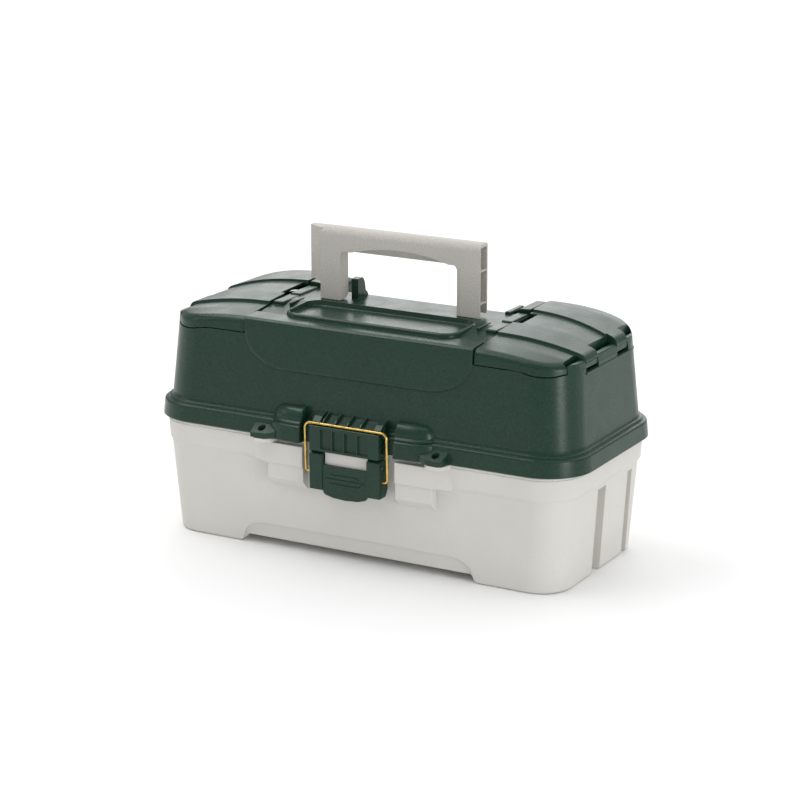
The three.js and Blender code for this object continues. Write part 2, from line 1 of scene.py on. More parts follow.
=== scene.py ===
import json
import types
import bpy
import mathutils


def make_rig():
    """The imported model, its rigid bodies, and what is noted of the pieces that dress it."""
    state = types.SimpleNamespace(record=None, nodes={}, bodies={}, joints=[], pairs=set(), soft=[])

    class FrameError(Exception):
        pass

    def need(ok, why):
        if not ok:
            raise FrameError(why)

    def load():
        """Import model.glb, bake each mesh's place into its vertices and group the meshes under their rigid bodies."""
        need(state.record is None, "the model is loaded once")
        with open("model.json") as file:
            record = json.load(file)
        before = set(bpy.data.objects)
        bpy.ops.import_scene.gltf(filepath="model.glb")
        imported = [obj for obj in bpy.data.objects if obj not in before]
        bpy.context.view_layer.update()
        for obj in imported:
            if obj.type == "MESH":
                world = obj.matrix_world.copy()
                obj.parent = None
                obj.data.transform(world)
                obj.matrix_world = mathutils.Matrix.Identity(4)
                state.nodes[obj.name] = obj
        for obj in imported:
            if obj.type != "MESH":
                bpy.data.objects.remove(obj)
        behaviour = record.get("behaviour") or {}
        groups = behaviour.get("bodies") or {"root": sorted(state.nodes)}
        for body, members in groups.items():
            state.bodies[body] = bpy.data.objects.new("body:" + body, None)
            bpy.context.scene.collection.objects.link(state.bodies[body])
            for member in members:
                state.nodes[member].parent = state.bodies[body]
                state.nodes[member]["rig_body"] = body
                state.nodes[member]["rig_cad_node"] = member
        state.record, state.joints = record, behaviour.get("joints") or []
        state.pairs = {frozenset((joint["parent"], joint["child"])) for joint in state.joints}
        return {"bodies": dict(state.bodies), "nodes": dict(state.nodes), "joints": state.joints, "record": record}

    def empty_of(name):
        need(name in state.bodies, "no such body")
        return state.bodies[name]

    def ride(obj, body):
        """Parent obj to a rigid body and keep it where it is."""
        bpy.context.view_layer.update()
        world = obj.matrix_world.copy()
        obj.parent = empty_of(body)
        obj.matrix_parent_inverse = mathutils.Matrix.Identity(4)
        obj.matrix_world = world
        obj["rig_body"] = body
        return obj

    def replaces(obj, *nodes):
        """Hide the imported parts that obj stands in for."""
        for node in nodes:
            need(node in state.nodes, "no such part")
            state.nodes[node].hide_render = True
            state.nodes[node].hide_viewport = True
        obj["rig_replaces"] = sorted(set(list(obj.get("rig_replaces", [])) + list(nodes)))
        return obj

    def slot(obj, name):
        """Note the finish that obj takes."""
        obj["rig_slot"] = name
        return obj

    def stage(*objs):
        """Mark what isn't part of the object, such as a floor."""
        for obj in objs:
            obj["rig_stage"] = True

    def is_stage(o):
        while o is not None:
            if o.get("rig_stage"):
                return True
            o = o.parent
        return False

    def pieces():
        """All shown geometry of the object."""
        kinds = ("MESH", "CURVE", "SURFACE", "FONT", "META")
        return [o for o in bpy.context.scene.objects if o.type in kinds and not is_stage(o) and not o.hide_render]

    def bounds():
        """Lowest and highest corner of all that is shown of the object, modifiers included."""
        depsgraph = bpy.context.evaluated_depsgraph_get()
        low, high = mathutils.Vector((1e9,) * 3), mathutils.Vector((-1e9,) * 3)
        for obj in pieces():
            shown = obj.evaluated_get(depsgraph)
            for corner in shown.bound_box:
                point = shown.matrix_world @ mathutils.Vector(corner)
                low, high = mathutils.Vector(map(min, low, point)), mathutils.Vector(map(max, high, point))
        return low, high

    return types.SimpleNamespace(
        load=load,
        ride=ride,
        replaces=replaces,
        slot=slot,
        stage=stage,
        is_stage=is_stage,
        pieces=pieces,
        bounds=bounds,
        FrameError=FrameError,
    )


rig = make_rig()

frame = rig.load()

# Fishing tackle box. Fine surfaces and finishes stand in for the plain CAD nodes, each riding on its body.
# Shapes are made in millimetres in the CAD's frame and scaled to metres when a piece is finished:
# +X along the box, +Z up, the front faces -Y, and the ground is z = 0.
import json
import math

import bmesh
import bpy
from mathutils import Matrix, Vector

cad_low, cad_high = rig.bounds()
scene = bpy.context.scene

MM = 0.001
SIDES = (("left", -1), ("right", 1))
WALL = 3.0  # moulded wall thickness

# ---- Driving dimensions, in millimetres ----
FOOT_X, FOOT_Y, FOOT_R = 190.2, 82.2, 28.0  # outline of the tub on the ground
TUB_TOP, TUB_FLARE = 103.2, 6.6
END_GROOVES, LINING = ((-15.0, 1.0, 8.6), (45.0, 54.0, 5.4)), 1.6  # from y to y, and how deep
RIM_X, RIM_Y, RIM_R, RIM_LOW = 200.5, 90.5, 36.0, 80.0
FLANGE_X, FLANGE_Y, FLANGE_R = 206.5, 92.1, 40.0
LID_X, LID_Y, LID_R, LID_LOW, LID_HIGH, LID_LEAN = 199.0, 85.5, 36.0, 119.0, 214.0, 7.4
LID_BOTTOM = 103.6
BIN_RIM, BIN_FLOOR, BIN_X = 187.7, 150.5, 110.4  # bin rim height, bin floor, seam beside the bin lids
FRONT_LIMIT = -102.4
HINGE_X, HINGE_Y, HINGE_Z, HINGE_R = 108.0, 97.5, 104.0, 5.0  # rear hinges
BIN_PIVOT_X, BIN_PIVOT_Z, BIN_PIN = 189.2, 188.4, (-56.0, 53.0)
STRAPS = ((-40.6, -17.0), (20.5, 42.0))  # hinge straps of a bin lid, and the blocks beside them
BLOCKS = ((-63.0, -41.0), (-16.6, 20.1), (42.4, 63.0))
CATCH_X, CATCH_LOW, CATCH_TOP = 33.5, 100.3, 122.0
LATCH_X, LATCH_Y, LATCH_LOW, LATCH_HIGH = 34.2, -101.6, 66.0, 97.6
LATCH_PIN, LATCH_HOOKS = (-95.5, 92), (-97.3, 80.4)  # y and z of the lever's pin and of the wire's hooks
BAY_X, BAY_LOW, BAY_BACK = 44.0, 62.0, -87.4
HASP_X, HASP_Y, HASP_R = 84.3, -96.0, 3.3
HANDLE_X, HANDLE_INNER, HANDLE_TOP, GRIP_LOW = 78.0, (-58.2, 55.6), 270.6, 250.5  # inner: left and right leg
HANDLE_FRONT, HANDLE_BACK, HANDLE_PIN = -6.5, 7.5, (0.5, 214.9)  # the pins at y and z
ARM_TILT, ARM_Z, ARM_PIVOTS, ARM_STEPS = math.radians(35), 52.7, (30.5, 53.0), (25.0, 73.0, 121.0)
ARM_IN, ARM_THICK = 174.6, 3.0
TRAY_X, TRAY_FRONT, TRAY_BACK, TRAY_HIGH, TRAY_R = 172.0, -76.0, 40.0, 26.0, 15.0


# ---- Solids ----
def solid(vertices, faces):
    """A closed mesh in millimetres, its faces turned outwards."""
    bm = bmesh.new()
    points = [bm.verts.new(v) for v in vertices]
    for face in faces:
        bm.faces.new([points[i] for i in face])
    bmesh.ops.recalc_face_normals(bm, faces=bm.faces)
    mesh = bpy.data.meshes.new("solid")
    bm.to_mesh(mesh)
    bm.free()
    obj = bpy.data.objects.new("solid", mesh)
    scene.collection.objects.link(obj)
    return obj


def combined(operation, base, tools):
    """Joins, cuts or intersects base with each tool, which is then gone."""
    for tool in tools:
        modifier = base.modifiers.new("combine", "BOOLEAN")
        modifier.operation = operation
        modifier.solver = "MANIFOLD"
        modifier.object = tool
    base.data = evaluated_mesh(base)
    base.modifiers.clear()
    for tool in tools:
        bpy.data.objects.remove(tool)
    return base


def evaluated_mesh(obj):
    depsgraph = bpy.context.evaluated_depsgraph_get()
    return bpy.data.meshes.new_from_object(obj.evaluated_get(depsgraph))


def join(base, *tools):
    return combined("UNION", base, tools)


def cut(base, *tools):
    return combined("DIFFERENCE", base, tools)


def meet(base, *tools):
    return combined("INTERSECT", base, tools)


def copy_of(obj):
    twin = bpy.data.objects.new("solid", obj.data.copy())
    scene.collection.objects.link(twin)
    return twin


def moved(obj, matrix):
    obj.data.transform(matrix)
    if matrix.determinant() < 0:
        obj.data.flip_normals()
    return obj


def mirrored(obj):
    return moved(obj, Matrix.Scale(-1, 4, Vector((1, 0, 0))))


def rounded_edges(obj, width, segments=2, least=25):
    """Bevels every edge that turns by more than `least` degrees."""
    if not width:
        return obj
    bm = bmesh.new()
    bm.from_mesh(obj.data)
    sharp = [e for e in bm.edges if len(e.link_faces) == 2 and e.calc_face_angle(0) > math.radians(least)]
    bmesh.ops.bevel(bm, geom=sharp, offset=width, segments=segments, profile=0.5, affect="EDGES",
                    clamp_overlap=True)
    bm.to_mesh(obj.data)
    bm.free()
    return obj


PLACES = {
    "x": lambda a, b, c: (c, a, b),
    "y": lambda a, b, c: (a, c, b),
    "z": lambda a, b, c: (a, b, c),
}


def prism(axis, outline, low, high, edge=0.0, segments=2):
    """A prism along an axis from an outline: (y, z) points along x, (x, z) along y, (x, y) along z."""
    place = PLACES[axis]
    n = len(outline)
    vertices = [place(a, b, c) for c in (low, high) for a, b in outline]
    faces = [tuple(range(n)), tuple(range(2 * n - 1, n - 1, -1))]
    faces += [(i, (i + 1) % n, n + (i + 1) % n, n + i) for i in range(n)]
    return rounded_edges(solid(vertices, faces), edge, segments)


def block(x, y, z, edge=0.0, segments=2):
    outline = [(x[0], y[0]), (x[1], y[0]), (x[1], y[1]), (x[0], y[1])]
    return prism("z", outline, z[0], z[1], edge, segments)


def arc(centre, radius, start, end, steps=10):
    turns = [math.radians(start + (end - start) * i / steps) for i in range(steps + 1)]
    return [(centre[0] + radius * math.cos(t), centre[1] + radius * math.sin(t)) for t in turns]


def softened(outline, radius, steps=5):
    """The outline with its corners rounded; a point may carry its own radius as a third number."""
    result = []
    for i, point in enumerate(outline):
        here = Vector(point[:2])
        r = point[2] if len(point) > 2 else radius
        back = Vector(outline[i - 1][:2]) - here
        ahead = Vector(outline[(i + 1) % len(outline)][:2]) - here
        turn = back.angle(ahead)
        reach = min(r / math.tan(turn / 2), 0.48 * back.length, 0.48 * ahead.length)
        if r <= 0 or reach < 0.02 or turn > math.radians(178):
            result.append(tuple(here))
            continue
        a, b = here + back.normalized() * reach, here + ahead.normalized() * reach
        for k in range(steps + 1):
            t = k / steps
            result.append(tuple(a * (1 - t) ** 2 + here * 2 * t * (1 - t) + b * t * t))
    return result


def rod(axis, low, high, centre, radius, edge=0.4, sides=40):
    return prism(axis, arc(centre, radius, 0, 360 - 360 / sides, sides - 1), low, high, edge)


def rounded_rect(half_x, half_y, radius, middle_y=0.0, steps=14):
    ring = []
    for sx, sy, start in ((1, 1, 0), (-1, 1, 90), (-1, -1, 180), (1, -1, 270)):
        centre = (sx * (half_x - radius), middle_y + sy * (half_y - radius))
        ring += arc(centre, radius, start, start + 90, steps)
    return ring


def loft(rings):
    n = len(rings[0])
    vertices = [point for ring in rings for point in ring]
    last = n * (len(rings) - 1)
    faces = [tuple(range(n)), tuple(last + i for i in reversed(range(n)))]
    for k in range(len(rings) - 1):
        a, b = k * n, (k + 1) * n
        faces += [(a + i, a + (i + 1) % n, b + (i + 1) % n, b + i) for i in range(n)]
    return solid(vertices, faces)


def walled(levels, middle_y=0.0, steps=14, tilt=0.0):
    """A block on rounded rectangles, from (z, half x, half y, radius) levels; tilt raises it towards +Y."""
    rings = []
    for z, half_x, half_y, radius in levels:
        ring = rounded_rect(half_x, half_y, radius, middle_y, steps)
        rings.append([(x, y, z + tilt * (y - middle_y)) for x, y in ring])
    return loft(rings)


def drafted(half, radius, z, lean=0.0, low=0.0, high=0.0, middle_y=0.0, tilt=0.0):
    """A block whose walls lean out by `lean`, with its bottom and top edges rounded by low and high."""
    levels = []

    def add(height, inset):
        out = lean * (height - z[0]) / (z[1] - z[0]) - inset
        levels.append((height, half[0] + out, half[1] + out, max(radius - inset, 0.5)))

    for t in ([0, 22.5, 45, 67.5] if low else []):
        add(z[0] + low * (1 - math.cos(math.radians(t))), low * (1 - math.sin(math.radians(t))))
    add(z[0] + low, 0)
    add(z[1] - high, 0)
    for t in ([22.5, 45, 67.5, 90] if high else []):
        add(z[1] - high * (1 - math.sin(math.radians(t))), high * (1 - math.cos(math.radians(t))))
    return walled(levels, middle_y, tilt=tilt)


def swept(path, radius, sides=14):
    """A round wire along a flat path of (x, y, z) points in a plane of constant y."""
    rings = []
    for i, point in enumerate(path):
        ahead = Vector(path[min(i + 1, len(path) - 1)]) - Vector(path[max(i - 1, 0)])
        side = Vector((0, 1, 0))
        up = ahead.normalized().cross(side)
        turns = [2 * math.pi * k / sides for k in range(sides)]
        rings.append([Vector(point) + radius * (math.cos(t) * side + math.sin(t) * up) for t in turns])
    return loft(rings)


def span(side, x0, x1):
    return (x0, x1) if side > 0 else (-x1, -x0)


# ---- Finishes ----
class Tree:
    """Small helper for building a material's nodes."""

    def __init__(self, name):
        self.material = bpy.data.materials.new(name)
        self.material.use_nodes = True
        self.nodes = self.material.node_tree.nodes
        self.links = self.material.node_tree.links
        self.shader = self.nodes["Principled BSDF"]
        self.place = self.nodes.new("ShaderNodeTexCoord").outputs["Object"]

    def add(self, kind, inputs=(), **settings):
        node = self.nodes.new(kind)
        for key, value in settings.items():
            setattr(node, key, value)
        for key, value in dict(inputs).items():
            if isinstance(value, bpy.types.NodeSocket):
                self.links.new(value, node.inputs[key])
            else:
                node.inputs[key].default_value = value
        return node

    def noise(self, scale, detail=2.0, roughness=0.5):
        inputs = {"Vector": self.place, "Scale": scale, "Detail": detail, "Roughness": roughness}
        return self.add("ShaderNodeTexNoise", inputs).outputs["Fac"]

    def span(self, value, low, high, to_low, to_high):
        inputs = {"Value": value, "From Min": low, "From Max": high, "To Min": to_low, "To Max": to_high}
        return self.add("ShaderNodeMapRange", inputs).outputs["Result"]

    def mix(self, factor, a, b):
        node = self.add("ShaderNodeMix", data_type="RGBA")
        for socket, value in zip((node.inputs[0], node.inputs[6], node.inputs[7]), (factor, a, b)):
            if isinstance(value, bpy.types.NodeSocket):
                self.links.new(value, socket)
            else:
                socket.default_value = value
        return node.outputs[2]

    def bump(self, height, strength, distance, normal=None):
        inputs = {"Height": height, "Strength": strength, "Distance": distance}
        if normal:
            inputs["Normal"] = normal
        return self.add("ShaderNodeBump", inputs).outputs["Normal"]

    def finish(self, color, roughness, normal):
        self.links.new(color, self.shader.inputs["Base Color"])
        self.links.new(roughness, self.shader.inputs["Roughness"])
        self.links.new(normal, self.shader.inputs["Normal"])
        return self.material


def shade(color, factor):
    return tuple(min(1.0, c * factor) for c in color[:3]) + (1.0,)


def moulded_plastic(name, color, roughness, grain=0.0011, depth=0.00005, speckle=0.1, specular=0.5):
    """Injection-moulded plastic: a fine spark-eroded grain, slight mottling and edges lightened by a painted
    highlight.
    """
    tree = Tree(name)
    fine = tree.noise(1 / grain, 2.0, 0.6)
    finer = tree.noise(2.7 / grain, 1.0)
    cloud = tree.noise(14.0, 3.0)
    base = tree.mix(tree.span(cloud, 0.35, 0.65, 0, 1), shade(color, 0.96), shade(color, 1.04))
    dark = tree.mix(tree.span(fine, 0.36, 0.64, 1, 0), base, shade(color, 1 - speckle))
    grained = tree.mix(tree.span(finer, 0.6, 0.8, 0, 0.5), dark, shade(color, 1 + 2 * speckle))
    # Painted highlight: where the bevel normal turns away from the plain normal, the colour is lightened towards 1.5
    # times as if the edges caught light.
    rounded = tree.add("ShaderNodeBevel", {"Radius": 0.0006}, samples=4).outputs["Normal"]
    plain = tree.add("ShaderNodeNewGeometry").outputs["Normal"]
    along = tree.add("ShaderNodeVectorMath", {0: rounded, 1: plain}, operation="DOT_PRODUCT").outputs["Value"]
    painted_edge_highlight = tree.mix(tree.span(along, 0.99, 0.85, 0, 0.3), grained, shade(color, 1.5))
    gloss = tree.span(tree.noise(60.0, 3.0), 0.3, 0.7, roughness - 0.04, roughness + 0.05)
    coarse = tree.bump(fine, 0.55, depth, rounded)
    normal = tree.bump(finer, 0.35, depth * 0.6, coarse)
    tree.shader.inputs["Specular IOR Level"].default_value = specular
    return tree.finish(painted_edge_highlight, gloss, normal)


def metal(name, color, roughness, stretch=(1.0, 1.0, 1.0), tarnish=0.15):
    """Drawn or plated metal with faint drawing lines and duller patches."""
    tree = Tree(name)
    placed = tree.add("ShaderNodeMapping", {"Vector": tree.place, "Scale": stretch}).outputs["Vector"]
    lines = tree.add("ShaderNodeTexNoise", {"Vector": placed, "Scale": 900.0, "Detail": 2.0}).outputs["Fac"]
    patch = tree.noise(220.0, 3.0)
    color_node = tree.mix(tree.span(patch, 0.45, 0.7, 0, 1), color, shade(color, 1 - tarnish))
    gloss = tree.span(lines, 0.3, 0.7, roughness - 0.06, roughness + 0.1)
    tree.shader.inputs["Metallic"].default_value = 1.0
    return tree.finish(color_node, gloss, tree.bump(lines, 0.25, 0.00003))


GREEN = moulded_plastic("green_plastic", (0.010, 0.041, 0.025, 1), 0.29, 0.0017, 0.00012, 0.35, 0.3)
PALE = moulded_plastic("pale_plastic", (0.62, 0.61, 0.575, 1), 0.5, 0.0009, 0.00003, 0.03)
SANDY = moulded_plastic("sandy_plastic", (0.54, 0.52, 0.485, 1), 0.6, 0.0011, 0.0001, 0.2, 0.12)
TRAY_PLASTIC = moulded_plastic("tray_plastic", (0.68, 0.665, 0.63, 1), 0.45, 0.0009, 0.00003, 0.03)
BRASS = metal("brass_plated_wire", (0.66, 0.45, 0.13, 1), 0.28, (1, 1, 0.1), 0.3)
STEEL = metal("zinc_plated_steel", (0.55, 0.56, 0.57, 1), 0.34, (0.1, 1, 1))


# ---- Finished pieces ----
def piece(obj, name, body, nodes, slot, material, edge=0.35, sharp=38):
    """Scales a solid to metres, rounds its edges, gives it its finish and lets it ride on its body."""
    obj.name = name
    obj.data.name = name
    obj.data.transform(Matrix.Scale(MM, 4))
    obj.data.materials.clear()
    obj.data.materials.append(material)
    obj.data.shade_smooth()
    obj.data.set_sharp_from_angle(angle=math.radians(sharp))
    if edge:
        bevel = obj.modifiers.new("edges", "BEVEL")
        bevel.width = edge * MM
        bevel.segments = 2
        bevel.limit_method = "ANGLE"
        bevel.angle_limit = math.radians(38)
        bevel.use_clamp_overlap = True
        bevel.miter_outer = "MITER_ARC"
    weighted = obj.modifiers.new("normals", "WEIGHTED_NORMAL")
    weighted.keep_sharp = True
    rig.ride(obj, body)
    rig.replaces(obj, *nodes)
    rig.slot(obj, slot)
    return obj


# ---- Tub ----
def tub_lean(z):
    return TUB_FLARE * z / TUB_TOP


def tub_outside():
    wall = drafted((FOOT_X, FOOT_Y), FOOT_R, (0, 100), TUB_FLARE * 100 / TUB_TOP, low=2.2, high=1.0)
    levels = []
    for t in range(9):  # the band swells out of the wall along an S curve
        share = t / 8
        swell = share * share * (3 - 2 * share)
        z = RIM_LOW - 1 + 6 * share
        out = tub_lean(z) - 0.6
        half_x = (FOOT_X + out) * (1 - swell) + (RIM_X - 0.7) * swell
        half_y = (FOOT_Y + out) * (1 - swell) + (RIM_Y - 0.7) * swell
        levels.append((z, half_x, half_y, FOOT_R * (1 - swell) + RIM_R * swell))
    lip = ((100.4, 0.1), (100.8, 0.7), (101.2, 0.7), (101.5, 0.0), (102.6, 0.0), (103.0, 0.3), (TUB_TOP, 0.9))
    for z, inset in lip:
        levels.append((z, RIM_X - inset, RIM_Y - inset, RIM_R - inset))
    return join(wall, walled(levels))


def arch_recess():
    """The middle of the front and back is set in over the raised floor, under a shallow arch."""
    turns = [math.radians(9 * k) for k in range(11)]
    end = [(91.0 + 22 * math.sin(t), 5.0 + 15.3 * math.cos(t)) for t in turns]
    outline = end + [(114.5, 0.5), (116, -3)]
    outline = outline + [(-x, z) for x, z in reversed(outline)]
    lean = [(-FOOT_Y - 9, -4), (-FOOT_Y + 3.4, -4), (-FOOT_Y + 1.1 - tub_lean(14), 20.6), (-FOOT_Y - 9, 22)]
    return meet(prism("y", outline, -FOOT_Y - 8, -FOOT_Y + 6), prism("x", lean, -130, 130))


def end_grooves(wall):
    """The space of the upright grooves in both ends, or with wall the lining that closes them inside."""
    grooves = []
    low, high, reach = 3.0 - wall, 76.0 + wall, -1.0 if wall else 10.0
    for y0, y1, depth in END_GROOVES:
        bottom, top = FOOT_X + tub_lean(low), FOOT_X + tub_lean(high)
        back = depth + wall
        outline = [(bottom - back, low), (bottom + reach, low), (top + reach, high), (top - back, high)]
        if not wall:
            outline[:2] = [(bottom - depth, -2), (bottom + reach, -2)]
        grooves.append(prism("y", outline, y0 - wall, y1 + wall))
    return grooves + [mirrored(copy_of(g)) for g in grooves]


def hasp_holes(z0, z1):
    return [rod("z", z0, z1, (side * HASP_X, HASP_Y), HASP_R, 0) for _, side in SIDES]


def tub_front():
    bracket = block((-21, 21), (-97.8, BAY_BACK + 3), (80, 99.6), 0.8)
    parts = [bracket]
    for _, side in SIDES:
        inner = BAY_X + 0.6
        band = [(inner, -84), (inner, -95.6), (80, -95.6), (97, -89.6), (97, -84)]
        parts.append(prism("z", [(side * x, y) for x, y in band], 80.6, 99.2, 0.8))
        lower = [(-94.2, 98), (-94.2, 68), (-93.4, 66.2), (-84, 57), (-84, 98)]
        parts.append(prism("x", lower, *span(side, BAY_X + 0.6, 80), 0.8))
        ear = [(72, -90), (75, -98), (79, -101.6), (88, -102.2), (92.5, -99), (95.5, -90), (95.5, -84),
               (72, -84)]
        ear = [(side * x, y) for x, y in ear]
        parts.append(prism("z", softened(ear, 2), 99.4, TUB_TOP - 0.2, 0.5))
    return parts


def arm_bosses():
    inner = ARM_IN + ARM_THICK + 0.4
    bosses, holes = [], []
    for y in ARM_PIVOTS:
        for _, side in SIDES:
            bosses.append(rod("x", *span(side, inner, FOOT_X + 1), (y, ARM_Z), 6))
            holes.append(rod("x", *span(side, inner - 1, inner + 8), (y, ARM_Z), 2.4, 0))
    return bosses, holes


def knuckle(x0, x1):
    return rod("x", x0, x1, (HINGE_Y, HINGE_Z), HINGE_R, 0.5)


def pin_hole(x):
    return rod("x", x - 40, x + 40, (HINGE_Y, HINGE_Z), 2.3, 0)


def tub():
    inner = drafted((FOOT_X - WALL, FOOT_Y - WALL), FOOT_R - WALL, (WALL, TUB_TOP + 1), TUB_FLARE, low=3)
    step = [(-121, -5), (-119, 8), (-117, 10), (117, 10), (119, 8), (121, -5)]
    inner = cut(inner, prism("y", step, -100, 100))
    arch = [(-118.4, -1), (-112, 4), (-109.5, 7), (109.5, 7), (112, 4), (118.4, -1)]
    back_recess = moved(arch_recess(), Matrix.Scale(-1, 4, Vector((0, 1, 0))))
    body = cut(tub_outside(), inner, prism("y", arch, -100, 100), arch_recess(), back_recess)
    bay = block((-BAY_X, BAY_X), (-110, BAY_BACK), (BAY_LOW, TUB_TOP + 1))
    bosses, holes = arm_bosses()
    body = join(cut(body, bay), *tub_front(), *bosses, *end_grooves(LINING))
    latch_hole = rod("x", -30, 30, LATCH_PIN, 1.7, 0)
    body = cut(body, *holes, *hasp_holes(99.3, 110), latch_hole, *end_grooves(0))
    for x in (-HINGE_X, HINGE_X):
        web = block((x - 10, x + 10), (88, HINGE_Y), (92, HINGE_Z - 1), 0.4)
        body = cut(join(body, knuckle(x - 10, x + 10), web), pin_hole(x))
    return body


# ---- Lid ----
def lid_block(inset):
    half = (LID_X - inset, LID_Y - inset)
    return drafted(half, LID_R - inset, (LID_LOW, LID_HIGH), -LID_LEAN)


def lid_wall_y(z):
    return LID_Y - LID_LEAN * (z - LID_LOW) / (LID_HIGH - LID_LOW)


def flange():
    """The lid's skirt: a rounded shoulder, then a small bead where it meets the wall."""
    profile = ((LID_BOTTOM, 0.5), (104.1, 0.0), (116.4, 1.2), (117.5, 1.6), (118.2, 2.4), (118.5, 3.4),
               (118.7, 4.2), (119.4, 4.6), (120.3, 4.8), (120.9, 5.4), (121.1, 6.2), (121.4, 6.9),
               (122.4, 7.4), (124.0, 7.9))
    return walled([(z, FLANGE_X - d, FLANGE_Y - d * 0.86, FLANGE_R - d * 0.5) for z, d in profile], steps=20)


def centre_profile(out=0.0):
    """The top between the bin lids, as (y, z) from front to back."""
    front = -lid_wall_y(196) - 0.15 - out
    points = [
        (-95, 150, 0), (-95, 190, 0), (-lid_wall_y(192.5) - 0.4 - out, 192.5, 0),
        (front + 0.1, 200.3 + out, 6), (-58, 201.4 + out, 8), (-38, 203.8 + out, 20), (-20, 206.6, 8),
        (26, 206.6, 8), (52, 197, 20), (73, 191.5, 9), (80, 184, 4), (95, 180, 0), (95, 150, 0),
    ]
    return softened(points, 0, 7)


def s_outline(inset):
    """The raised panel that fills the lid's front between and below the bin lids."""
    low, high, side = 160.0 + inset, 189.0 + inset, BIN_X - 0.4 - inset
    left = [(-side + 42 * (1 - math.cos(t)), high - 29 * math.sin(t))
            for t in [math.radians(7.5 * k) for k in range(13)]]
    right = [(-x, z) for x, z in reversed(left)]
    outer = BIN_X - 0.4
    return [(-outer, 216), (-outer, high)] + left + [(0, low)] + right + [(outer, high), (outer, 216)]


SEAM = ((BIN_X - 3, 0.0), (146, -0.1), (155, -0.9), (163, -2.6), (170, -3.4), (179, -3.4), (187, -1.8),
        (192, -0.8), (214, -0.8))  # x, and how far the seam lies below the bin's rim


def above_seam(side, gap):
    """Everything over the seam between one bin and its lid."""
    points = [(BIN_X - 3, 225, 0)] + [(x, BIN_RIM + gap + dz, 6) for x, dz in SEAM] + [(214, 225, 0)]
    return prism("y", [(side * x, z) for x, z in softened(points, 0)], -110, 110)


def lid_walls():
    centre = BIN_X - 0.5
    over_middle = block((-BIN_X, BIN_X), (-99, 99), (BIN_RIM, 225))
    body = cut(lid_block(0), above_seam(1, 0), above_seam(-1, 0), over_middle)
    middle = meet(lid_block(0), prism("x", centre_profile(), -centre, centre))
    return join(flange(), body, middle, front_panel())


def front_panel():
    rings = [[(x, -60.0, z) for x, z in s_outline(0)]]
    for inset, out in ((0.0, -0.4), (0.3, 0.6), (0.9, 1.2), (1.8, 1.6), (2.8, 1.7)):
        rings.append([(x, -lid_wall_y(z) - out, z) for x, z in s_outline(inset)])
    return meet(loft(rings), prism("x", centre_profile(1.7), 0.5 - BIN_X, BIN_X - 0.5))


def top_panel():
    """The bordered panel in front of the handle: a slab, and the pocket to cut from it."""
    front, back, half_x, radius, border = -66.5, -11.5, 84.5, 15.0, 5.2
    middle, half_y = (front + back) / 2, (back - front) / 2
    slab = drafted((half_x, half_y), radius, (198, 207.0), -1.6, high=1.9, middle_y=middle, tilt=0.027)
    half = (half_x - border, half_y - border)
    pocket = drafted(half, radius - border, (202.9, 213), 3.0, low=1.0, middle_y=middle)
    return slab, pocket


def handle_ears():
    ear = [(7.8, 200), (7.8, 223.8, 1.5), (17.0, 224.4, 4), (20.2, 219, 3), (21.6, 211.6, 1),
           (24.5, 209.6, 1), (26.5, 206, 1), (26.5, 200)]
    return [prism("x", softened(ear, 0.3), *span(side, 48.6, 55.2), 0.7) for _, side in SIDES]


def handle_lugs():
    lugs, holes = [], []
    for _, side in SIDES:
        x0, x1 = span(side, 60.4, 65.2)
        lugs += [block((x0, x1), (-2.5, 3.5), (200, HANDLE_PIN[1]), 0.4), rod("x", x0, x1, HANDLE_PIN, 3)]
        holes.append(rod("x", x0 - 1, x1 + 1, HANDLE_PIN, 1.9, 0))
    return lugs, holes


def lid_hollow():
    mouth = drafted((LID_X - WALL, LID_Y - WALL), LID_R - WALL, (LID_BOTTOM - 1, LID_LOW + 0.1))
    inner = lid_block(WALL)
    under = meet(copy_of(inner), block((-210, 210), (-100, 100), (110, BIN_FLOOR - 2.5)))
    roof = prism("x", [(y, z - 4.8) for y, z in centre_profile()], WALL - BIN_X, BIN_X - WALL)
    bins = []
    for _, side in SIDES:
        bin_space = block(span(side, BIN_X + 1.8, 205), (-100, 100), (BIN_FLOOR, 224))
        bins.append(meet(copy_of(inner), bin_space))
    return [mouth, under, meet(inner, roof)] + bins


def catch():
    """The hook plate for the wire: four shallow pockets between ribs that run back to the lid as fins."""
    ribs = (-23.5, -11.8, 0.0, 12.5, 24.0)
    front = FRONT_LIMIT + 0.3
    side = [(front, CATCH_LOW, 0.5), (front, CATCH_TOP, 1.6), (-99.6, CATCH_TOP + 0.3, 0.6),
            (-98.6, 120.6, 0.3), (-96, 120.6, 1), (-94, 123.5, 1), (-84, 128.5, 0), (-82, 128.5, 0),
            (-82, CATCH_LOW, 0)]
    plate = prism("x", softened(side, 0.3), -CATCH_X, CATCH_X, 0.9)
    clearance = block((-CATCH_X - 1, CATCH_X + 1), (-90.4, -80), (90, LID_BOTTOM))
    cuts = [clearance]
    for left, right in zip(ribs, ribs[1:]):
        pocket_z = (CATCH_LOW + 2.2, CATCH_TOP - 2.6)
        cuts.append(block((left + 0.7, right - 0.7), (front - 2, front + 1.9), pocket_z, 0.3))
        cuts.append(block((left + 1.2, right - 1.2), (-99.4, -94.6), (116, 123.2), 0.3))
    body = cut(plate, *cuts)
    fin = [(-97.6, 121, 0.3), (-97.0, 123.8, 1), (-93.5, 127.0, 2), (-84, 131.2, 0), (-81.5, 131.2, 0),
           (-81.5, 119, 0)]
    fins = [prism("x", softened(fin, 0.3), x - 0.8, x + 0.8, 0.35) for x in ribs[:4]]
    ends = [(-97.6, 118, 0.3), (-97.6, 124.6, 1.2), (-93, 128.6, 2), (-84, 131.6, 0), (-81.5, 131.6, 0),
            (-81.5, 118, 0)]
    for x0, x1 in ((-33.2, -25.6), (26.5, 33.2)):
        fins.append(prism("x", softened(ends, 0.3), x0, x1, 0.9))
    return join(body, *fins)


